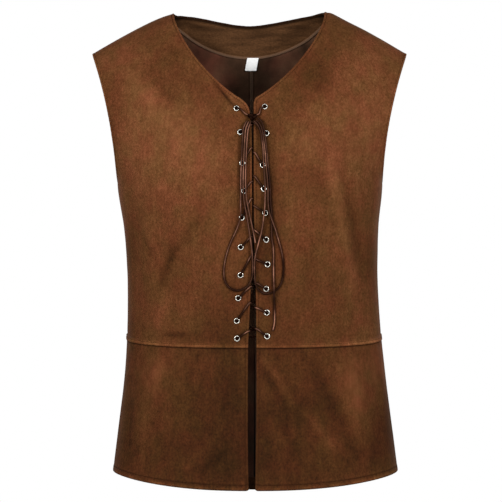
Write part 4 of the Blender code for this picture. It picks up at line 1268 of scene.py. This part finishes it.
def turned_eyelet():
    """One eyelet, turned from a circle that is drawn out ring by ring."""
    bpy.ops.object.select_all(action="DESELECT")
    radius, height = EYELET_SECTION[0]
    bpy.ops.mesh.primitive_circle_add(vertices=EYELET_SIDES, radius=radius * MM,
                                      location=(0.0, 0.0, height * MM))
    bpy.ops.object.transform_apply(location=True)
    eyelet = bpy.context.object
    bpy.ops.object.mode_set(mode="EDIT")
    bpy.ops.mesh.select_mode(type="EDGE")
    bpy.ops.mesh.select_all(action="SELECT")
    for wide, high in EYELET_SECTION[1:] + EYELET_SECTION[:1]:
        bpy.ops.mesh.extrude_region_move(
            TRANSFORM_OT_translate={"value": (0.0, 0.0, (high - height) * MM)})
        bpy.ops.transform.resize(value=(wide / radius, wide / radius, 1.0),
                                 center_override=(0.0, 0.0, high * MM))
        radius, height = wide, high
    bpy.ops.mesh.select_all(action="SELECT")
    bpy.ops.mesh.remove_doubles(threshold=0.01 * MM)
    bpy.ops.mesh.normals_make_consistent(inside=False)
    bpy.ops.object.mode_set(mode="OBJECT")
    bpy.ops.object.shade_smooth()
    places = np.array([vertex.co for vertex in eyelet.data.vertices]) / MM
    radius, height = np.hypot(places[:, 0], places[:, 1]), places[:, 2]
    # Painted shade: near-black in the bore and low down where the flange meets the cloth, and a dark
    # outline along the rim's outer edge
    bore_shade = 1.0 - smooth_step(radius, 2.8, 3.2) * smooth_step(height, 0.0, 0.5)
    edge = smooth_step(radius, 3.95, 4.35)
    set_values(eyelet.data, "wear_and_painted_light", np.maximum(bore_shade, 0.75 * edge))
    return eyelet


def eyelets():
    """A copy of the eyelet in each hole."""
    pattern = turned_eyelet()
    for side, word in SIDES.items():
        for number, spot in enumerate(eyelet_places(side), 1):
            mesh = pattern.data.copy()
            mesh.transform(eyelet_frame(*spot))
            piece = new_object(f"ring_{word}_{number:02d}", mesh)
            dress(piece, "eyelet")
            placed(piece, f"eyelet_{word}_{number:02d}")
    bpy.data.objects.remove(pattern)


# Cords


def smooth_curve(points, steps):
    """A smooth curve through the points, with the number of steps given between two."""
    points = np.asarray(points)
    before = np.concatenate((points[:1], points[:-2]))[:, None]
    start, end = points[:-1, None], points[1:, None]
    after = np.concatenate((points[2:], points[-1:]))[:, None]
    part = (np.arange(steps) / steps)[None, :, None]
    curve = 0.5 * (2 * start + (end - before) * part
                   + (2 * before - 5 * start + 4 * end - after) * part ** 2
                   + (3 * start - before - 3 * end + after) * part ** 3)
    return np.concatenate((curve.reshape(-1, 3), points[-1:]))


def tube(name, line, radius):
    """A round cord's mesh along a line, closed at both ends."""
    run = unit(np.gradient(line, axis=0))
    side = np.empty_like(run)
    side[0] = unit(np.cross(run[0], (0.3, 1.0, 0.2)))
    for index in range(1, len(run)):
        side[index] = unit(side[index - 1] - run[index] * (side[index - 1] @ run[index]))
    other = np.cross(run, side)
    angle = np.arange(LACE_SIDES) * 2 * math.pi / LACE_SIDES
    ring = side[:, None] * np.cos(angle)[:, None] + other[:, None] * np.sin(angle)[:, None]
    points = (line[:, None] + ring * radius).reshape(-1, 3)
    grid = np.arange(len(points)).reshape(len(line), LACE_SIDES)
    after = np.roll(grid, -1, axis=1)
    quads = np.stack((grid[:-1], after[:-1], after[1:], grid[1:]), -1).reshape(-1, 4)
    mesh = bpy.data.meshes.new(name)
    mesh.from_pydata(points.tolist(), [],
                     quads.tolist() + [grid[0, ::-1].tolist(), grid[-1].tolist()])
    return mesh


# Where the laces lie on the cloth, filled in as they are made, for the painted shadow that they cast
# on it
LACE_SPOTS = []


def lace_piece(name, node, line, highlight_at, radius=LACE / 2):
    """A lace along a line, with a painted highlight on the side that lies outward from the cloth."""
    line = even_line(line, LACE_STEP)
    mesh = tube(name, line, radius)
    lift = cloth_point(FRONT, line[:, 0] - middle(line[:, 2]), line[:, 2])[:, 1] - line[:, 1]
    # The cloth is painted darker round these places, as the lace's shadow
    LACE_SPOTS.append(line[lift > 0.8 * MM])
    rim = np.array([vertex.co for vertex in mesh.vertices]).reshape(len(line), LACE_SIDES, 3)
    # A painted highlight on the lace's outward side, faded out to a near-black painted shade where
    # the lace goes through or under the cloth
    outward = np.clip((line[:, None, 1] - rim[..., 1]) / radius, 0.0, 1.0) ** 4
    wear_and_painted_light = highlight_at(line)[:, None] * outward * smooth_step(lift, 0.9 * MM, 1.6 * MM)[:, None]
    set_values(mesh, "wear_and_painted_light", wear_and_painted_light)
    round_share = np.tile(np.arange(LACE_SIDES) / LACE_SIDES, len(line))
    lay = np.stack((round_share, np.repeat(lengths_along(line), LACE_SIDES) / LACE), 1)
    piece = placed(finished(name, mesh, lay), node)
    dress(piece, "lace")
    return piece, line


def free_strands():
    """The bow's two loops and its two free ends."""
    strands = (("loop_right", LOOP_RIGHT, "object"), ("end_right", END_RIGHT, "bare"),
               ("loop_left", LOOP_LEFT, "object"), ("end_left", END_LEFT, "bare"))
    for node, route, far_end in strands:

        # How bright the painted highlight is along the strand
        def rub_and_highlight(line):
            run = lengths_along(line)
            return read_stops(STRAND_HIGHLIGHT[node], run / run[-1])

        curve = smooth_curve(on_cloth(FRONT, route), STRAND_STEPS)
        piece, line = lace_piece(f"strand_{node}", node, curve, rub_and_highlight)


def through_eyelet(spot, come_from, go_to):
    """The lace up through one eyelet, from behind the cloth to its front: x, z and height in
    millimetres. The eyelet and the places it comes from and goes to are in metres."""
    spot = np.array(spot)
    back, ahead = unit(np.array(come_from) - spot), unit(np.array(go_to) - spot)
    steps = ((back * 3.6, -4.2), (back * 0.7, -3.6), (ahead * 0.9, 1.7), (ahead * 3.3, 2.9),
             (ahead * 6.8, LACE_OVER / MM))
    return [(*(spot / MM + offset), lift) for offset, lift in steps]


def through_gap(side, z):
    """The lace over its own front edge, down through the gap and under the other edge: x, z
    and height in millimetres, where z is in metres."""
    half, x, height = float(gap(z)) / MM, float(gap_middle(z)) / MM, z / MM
    clear, tilt = half + 2.0, 1.2
    return [(x + side * clear, height - tilt, LACE_OVER / MM),
            (x + side * half * 0.6, height, 1.0), (x + side * half * 0.1, height + 0.5, -3.2),
            (x - side * half * 0.5, height + 0.8, -6.2),
            (x - side * clear, height + tilt, LACE_UNDER / MM - 1.0)]


def crossing_highlight(line):
    """A crossing lace's painted highlight: where it comes over the front's edge, dark near its
    eyelet, and up at the knot further out."""
    beside = np.abs(line[:, 0] - gap_middle(line[:, 2])) - gap(line[:, 2])
    high = line[:, 2] > FIRST_LACE
    return 0.1 + 0.75 * bump(beside, 2.0, 4.0) + np.where(high, 0.7 * bump(beside, 8.5, 3.5), 0.0)


def crossing_lace(name, side, node):
    """Half of the lace, from the bar behind the lowest pair up to the knot, crossing over."""
    spots = {LEFT: eyelet_places(LEFT), RIGHT: eyelet_places(RIGHT)}
    last = len(EYELETS) - 1
    bar_z = (spots[LEFT][last][1] + spots[RIGHT][last][1]) / 2
    under = LACE_UNDER / MM
    route = [(side * 0.15, bar_z / MM, under - 3.0), (side * 5.0, bar_z / MM, under - 2.4),
             (side * 11.0, bar_z / MM, under)]
    come_from = (0.0, bar_z)
    for index in range(last, 0, -1):
        spot = spots[side][index]
        cross_z = CROSSINGS[index - 1][side == LEFT] * MM
        half, x = float(gap(cross_z)), float(gap_middle(cross_z))
        route += through_eyelet(spot, come_from, (x + side * half, cross_z))
        route += through_gap(side, cross_z)
        come_from = (x - side * half, cross_z)
        side = -side
    spot = spots[side][0]
    knot_x, knot_z, knot_lift = KNOT_MIDDLE
    route += through_eyelet(spot, come_from, (knot_x * MM, (knot_z + 5.0) * MM))
    reach = KNOT_SIZE[0] / MM
    route += [(knot_x + side * (reach + 3.0), knot_z + 4.6, 3.0),
              (knot_x + side * (reach - 1.5), knot_z + 2.4, knot_lift)]
    curve = smooth_curve(on_cloth(FRONT, route), CROSSING_STEPS)
    lace_piece(name, node, curve, crossing_highlight)


def knot():
    """The bow's knot: a closed overhand turn pulled tight, with the lace wound round it."""
    angle = np.linspace(0.0, 2 * math.pi, KNOT_STEPS)
    across = (np.sin(angle) + INNER_LOOPS * np.sin(2 * angle)) / TURN_REACH
    up = (np.cos(angle) - INNER_LOOPS * np.cos(2 * angle)) / TURN_REACH
    depth = -np.sin(3 * angle)
    wide, deep, high = (size - KNOT_INSET for size in KNOT_SIZE)
    place = on_cloth(FRONT, [KNOT_MIDDLE])[0]
    line = np.stack((across * wide, depth * deep, up * high), 1) + place
    lace_piece("bow_knot", "knot", line, lambda line: np.full(len(line), KNOT_HIGHLIGHT),
               KNOT_CORD)


# Materials


def fill(tree, node, **settings):
    """Sets a shader node's inputs, each to a value or a socket, and its own settings."""
    for word, value in settings.items():
        name = word.replace("_", " ")
        if name in node.inputs:
            connect(tree, value, node.inputs[name])
        else:
            setattr(node, word, value)
    return node


def add(tree, kind, **settings):
    return fill(tree, tree.nodes.new(kind), **settings)


def connect(tree, value, socket):
    if isinstance(value, bpy.types.NodeSocket):
        tree.links.new(value, socket)
    else:
        socket.default_value = value


def maths(tree, operation, first, second=0.5, third=0.5):
    made = add(tree, "ShaderNodeMath", operation=operation)
    for value, socket in zip((first, second, third), made.inputs):
        connect(tree, value, socket)
    return made.outputs[0]


def mixed(tree, share, first, second, blend="MIX"):
    """Mixes two colours."""
    made = add(tree, "ShaderNodeMix", data_type="RGBA", blend_type=blend, Factor=share)
    for value, socket in ((first, made.inputs[6]), (second, made.inputs[7])):
        connect(tree, value if isinstance(value, bpy.types.NodeSocket) else (*value, 1.0), socket)
    return made.outputs[2]


def new_material(name):
    made = bpy.data.materials.new(name)
    made.use_nodes = True
    tree = made.node_tree
    return made, tree, tree.nodes["Principled BSDF"]


def stretched(tree, stretch):
    """Object coordinates, drawn out or packed along each axis."""
    place = add(tree, "ShaderNodeTexCoord")
    return add(tree, "ShaderNodeMapping", Vector=place.outputs["Object"],
               Scale=stretch).outputs[0]


def grain(tree, scale, stretch=(1.0, 1.0, 1.0), detail=3.0, roughness=0.55):
    """Soft random values from 0 to 1, at a scale in features per metre."""
    return add(tree, "ShaderNodeTexNoise", Vector=stretched(tree, stretch), Scale=scale,
               Detail=detail, Roughness=roughness).outputs[0]


def centred(tree, value, gain):
    """A value from 0 to 1 as a factor about 1."""
    return maths(tree, "MULTIPLY_ADD", value, 2.0 * gain, 1.0 - gain)


def attribute(tree, name):
    return add(tree, "ShaderNodeAttribute", attribute_name=name).outputs["Fac"]


def between(tree, value, low, high):
    """A value between low and high as a share from 0 to 1."""
    return add(tree, "ShaderNodeMapRange", Value=value, From_Min=low, From_Max=high).outputs[0]


def scaled(tree, colour, tone):
    """A colour made darker or lighter by a tone."""
    return add(tree, "ShaderNodeVectorMath", operation="SCALE", Vector=colour,
               Scale=tone).outputs[0]


def bumped(tree, height, strength, depth):
    return add(tree, "ShaderNodeBump", Height=height, Strength=strength,
               Distance=depth).outputs[0]


# A suede's colour from darkest to lightest, as its tone and painted shading go: share of the
# lightest, and colour
SUEDE_TONES = (
    (0.0, (0.001, 0.0003, 0.0001)),
    (0.16, (0.046, 0.0155, 0.0044)),
    (0.32, (0.082, 0.0285, 0.0096)),
    (0.48, (0.122, 0.0442, 0.0168)),
    (0.72, (0.184, 0.0700, 0.0290)),
    (1.0, (0.262, 0.1070, 0.0480)),
)
RUBBED = (2.0, 2.1, 2.3)


def ramp(tree, value, stops):
    made = add(tree, "ShaderNodeValToRGB", Fac=value)
    elements = made.color_ramp.elements
    while len(elements) < len(stops):
        elements.new(0.5)
    for element, (place, colour) in zip(elements, stops):
        element.position = place
        element.color = (*colour, 1.0)
    return made.outputs[0]


def product(tree, *values):
    total = values[0]
    for value in values[1:]:
        total = maths(tree, "MULTIPLY", total, value)
    return total


def suede(name, tone, blotch):
    """Brushed suede cloth: soft patches, upright brushed streaks, fine fibres and worn edges, made
    lighter and darker by the painted shading that each piece carries.
    """
    made, tree, shader = new_material(name)
    hue = between(tree, grain(tree, 34.0, (1.0, 1.0, 0.8)), 0.35, 0.65)
    patches = grain(tree, 15.0, (1.0, 1.0, 0.6))
    mottle = grain(tree, 95.0, (1.0, 1.0, 0.8), roughness=0.6)
    streaks = grain(tree, 240.0, (1.0, 1.0, 0.08))
    fibres = grain(tree, 400.0, (1.0, 1.0, 0.75), 4.0, 0.75)
    tone_and_painted_shading = attribute(tree, "tone_and_painted_shading")
    rough = maths(tree, "MINIMUM", maths(tree, "MULTIPLY_ADD", tone_and_painted_shading, -1.6, 2.8), 1.26)
    speckle = product(tree, maths(tree, "MULTIPLY_ADD", fibres, 2.0, -1.0), rough)
    shade = product(tree, tone_and_painted_shading, centred(tree, patches, 0.35), centred(tree, mottle, blotch),
                    centred(tree, streaks, 0.25), maths(tree, "ADD", speckle, 1.0), tone)
    rub_and_highlight = product(tree, attribute(tree, "wear_and_painted_light"), centred(tree, mottle, 0.6), 0.5)
    warmth = mixed(tree, hue, (1.065, 0.925, 0.98), (0.945, 1.06, 0.95))
    colour = mixed(tree, 1.0, ramp(tree, shade, SUEDE_TONES), warmth, "MULTIPLY")
    lighter = mixed(tree, 1.0, colour, RUBBED, "MULTIPLY")
    height = maths(tree, "MULTIPLY_ADD", fibres, 0.5, product(tree, mottle, 0.9))
    fill(tree, shader, Base_Color=mixed(tree, rub_and_highlight, colour, lighter), Roughness=0.95,
         Normal=bumped(tree, height, 0.4, 0.0012), Specular_IOR_Level=0.06, Sheen_Weight=0.04,
         Sheen_Roughness=0.45, Sheen_Tint=(0.80, 0.36, 0.15, 1.0))
    return made


def facing_material():
    """Darker suede with its grain across, lighter piping, and the painted shade that the facing
    carries.
    """
    made, tree, shader = new_material("facing suede")
    patches = grain(tree, 20.0, (1.0, 1.0, 1.6))
    crosswise = grain(tree, 160.0, (0.08, 1.0, 1.0))
    fibres = grain(tree, 450.0, (0.7, 1.0, 1.0), roughness=0.7)
    tone = product(tree, centred(tree, patches, 0.4), centred(tree, crosswise, 0.45),
                   centred(tree, fibres, 0.8), attribute(tree, "tone_and_painted_shading"))
    colour = mixed(tree, product(tree, attribute(tree, "wear_and_painted_light"), 0.8),
                   scaled(tree, (0.067, 0.0300, 0.0122), tone), (0.125, 0.073, 0.046))
    fill(tree, shader, Base_Color=colour, Normal=bumped(tree, fibres, 0.3, 0.0008),
         Roughness=0.95, Specular_IOR_Level=0.03)
    return made


def lining_material():
    """Thin dark twill, with soft reddish and near-black clouds, painted light and shade, and a
    painted highlight along its centre seam.
    """
    made, tree, shader = new_material("lining twill")
    clouds = grain(tree, 24.0, (1.0, 1.0, 0.7))
    hue = between(tree, grain(tree, 17.0, (1.0, 1.0, 0.8), 2.0), 0.4, 0.6)
    threads = grain(tree, 900.0, (1.0, 1.0, 0.12), 2.0)
    tone = product(tree, attribute(tree, "tone_and_painted_shading"), centred(tree, clouds, 1.3),
                   centred(tree, threads, 0.25))
    base = mixed(tree, hue, (0.034, 0.0165, 0.0088), (0.042, 0.0140, 0.0080))
    colour = mixed(tree, product(tree, attribute(tree, "wear_and_painted_light"), 0.8), scaled(tree, base, tone),
                   (0.095, 0.062, 0.042))
    fill(tree, shader, Base_Color=colour, Normal=bumped(tree, threads, 0.3, 0.0005),
         Roughness=0.75, Specular_IOR_Level=0.05)
    return made


def label_material():
    """White tape with a fine weave."""
    made, tree, shader = new_material("label tape")
    place = stretched(tree, (1.0, 1.0, 1.0))
    threads, picks = (add(tree, "ShaderNodeTexWave", Scale=scale, Distortion=0.6, Detail=1.0,
                          Vector=place, bands_direction=axis).outputs["Fac"]
                      for scale, axis in ((900.0, "X"), (700.0, "Z")))
    weave = product(tree, threads, picks)
    fill(tree, shader, Base_Color=mixed(tree, weave, (0.93, 0.93, 0.92), (1.0, 1.0, 0.99)),
         Normal=bumped(tree, weave, 0.3, 0.0003), Roughness=0.6)
    return made


def eyelet_material():
    """Nickel, brighter where it is worn, with near-black painted shade in the bore and under the
    rim.
    """
    made, tree, shader = new_material("nickel eyelet")
    rub_and_highlight = grain(tree, 420.0, detail=2.0)
    bright = mixed(tree, rub_and_highlight, (0.52, 0.50, 0.44), (0.80, 0.78, 0.71))
    colour = mixed(tree, attribute(tree, "wear_and_painted_light"), bright, (0.022, 0.018, 0.014))
    fill(tree, shader, Base_Color=colour, Metallic=1.0,
         Roughness=maths(tree, "MULTIPLY_ADD", rub_and_highlight, 0.2, 0.22))
    return made


def lace_material():
    """Waxed round lace: a fine braid that follows the cord, near-black with a painted highlight,
    stronger in patches.
    """
    made, tree, shader = new_material("waxed lace")
    place = add(tree, "ShaderNodeUVMap", uv_map="cloth").outputs[0]
    braid = []
    for turn in (1.0, -1.0):
        lay = add(tree, "ShaderNodeMapping", Vector=place, Scale=(turn * 2.0, 1.3, 1.0))
        split = add(tree, "ShaderNodeSeparateXYZ", Vector=lay.outputs[0])
        wave = maths(tree, "ADD", split.outputs[0], split.outputs[1])
        braid.append(maths(tree, "PINGPONG", wave, 0.5))
    weave = product(tree, *braid, 4.0)
    # Patches where the painted highlight is stronger
    rubbed_and_highlit = between(tree, grain(tree, 75.0, (1.0, 1.0, 0.6), 2.0), 0.44, 0.62)
    light = product(tree, attribute(tree, "wear_and_painted_light"),
                    maths(tree, "MULTIPLY_ADD", rubbed_and_highlit, 0.65, 0.35),
                    maths(tree, "MULTIPLY_ADD", weave, 0.5, 0.5))
    colour = mixed(tree, light, (0.0055, 0.0016, 0.0008), (0.48, 0.215, 0.138))
    fill(tree, shader, Base_Color=colour, Normal=bumped(tree, weave, 0.5, 0.0004),
         Roughness=0.75, Specular_IOR_Level=0.02, Specular_Tint=(1.0, 0.60, 0.50, 1.0))
    return made


def thread_material():
    made, tree, shader = new_material("sewing thread")
    twist = grain(tree, 2400.0, detail=1.0)
    fill(tree, shader, Roughness=0.8, Specular_IOR_Level=0.02,
         Base_Color=mixed(tree, twist, (0.016, 0.0056, 0.0018), (0.034, 0.0125, 0.0042)))
    return made


# Light and floor


# Each lamp's name, place, size and power
LAMPS = (
    ("key", (-1.5, -2.0, 0.35), 0.5, 54.0),
    ("second key", (1.5, -2.0, 0.35), 0.5, 48.0),
    ("front fill", (0.0, -2.8, 0.1), 1.0, 24.0),
    ("back key", (-1.3, 2.0, 0.5), 0.8, 28.0),
    ("second back key", (1.3, 2.0, 0.5), 0.8, 34.0),
)
LAMP_AIM = (0.0, -0.05, -0.3)


def soft_box(name, place, size, power):
    """A square lamp that is turned to the vest."""
    data = bpy.data.lights.new(name, "AREA")
    data.shape = "SQUARE"
    data.size = size
    data.energy = power
    lamp = new_object(name, data)
    lamp.location = place
    lamp.rotation_euler = (Vector(LAMP_AIM) - Vector(place)).to_track_quat("-Z", "Y").to_euler()


def studio():
    """The lamps, a white surround that lights the vest only a little, and the floor."""
    for lamp in LAMPS:
        soft_box(*lamp)
    world = bpy.data.worlds.new("studio")
    bpy.context.scene.world = world
    world.use_nodes = True
    tree = world.node_tree
    seen = add(tree, "ShaderNodeLightPath").outputs["Is Camera Ray"]
    fill(tree, tree.nodes["Background"], Color=(1.0, 1.0, 1.0, 1.0),
         Strength=maths(tree, "MULTIPLY_ADD", seen, 0.86, 0.14))
    bpy.ops.object.select_all(action="DESELECT")
    bpy.ops.mesh.primitive_plane_add(size=FLOOR_SIZE, location=(0.0, 0.0, FLOOR))
    floor = bpy.context.object
    floor.name = "floor"
    made, tree, shader = new_material("pale floor")
    fill(tree, shader, Roughness=0.8,
         Base_Color=mixed(tree, grain(tree, 3.0), (0.78, 0.78, 0.77), (0.82, 0.82, 0.81)))
    floor.data.materials.append(made)


# Putting the vest together


def dress(piece, finish):
    """Gives a piece its finish."""
    piece.data.materials.clear()
    piece.data.materials.append(MATERIALS[finish])
    return piece


def dress_panel(piece, sewing, part):
    dress(piece, part)
    dress(sewing, "thread")


def bodice_and_skirt():
    for side, word in SIDES.items():
        piece, sewing = front_cloth(side)
        dress_panel(piece, sewing, "bodice")
        places = half_skirt(FRONT, side, front_edge(side), CLOTH_STEP)
        piece, sewing = skirt_cloth(f"skirt_front_{word}", FRONT, places)
        dress_panel(piece, sewing, "skirt")
    piece, sewing = back_cloth()
    dress_panel(piece, sewing, "bodice")
    places = both_halves(half_skirt(BACK, LEFT, back_middle, BACK_STEP))
    piece, sewing = skirt_cloth("skirt_back", BACK, places)
    dress_panel(piece, sewing, "skirt")


def inside_pieces():
    piece = dress(facing_cloth(), "facing")
    for side in (RIGHT, LEFT):
        piece = dress(lining_cloth(side), "lining")
    piece = dress(label_cloth(), "label")


camera()
bpy.context.scene.view_settings.view_transform = "Standard"
MATERIALS = {
    "bodice": suede("bodice suede", 0.325, 0.38),
    "skirt": suede("skirt suede", 0.205, 0.52),
    "facing": facing_material(),
    "lining": lining_material(),
    "label": label_material(),
    "eyelet": eyelet_material(),
    "lace": lace_material(),
    "thread": thread_material(),
}
STITCH_SHAPE = one_stitch()

# The laces come before the cloth, which carries their painted shadow where they lie on it
free_strands()
crossing_lace("crossing_from_right", RIGHT, "lace_from_right")
crossing_lace("crossing_from_left", LEFT, "lace_from_left")
knot()
bodice_and_skirt()
inside_pieces()
eyelets()
studio()
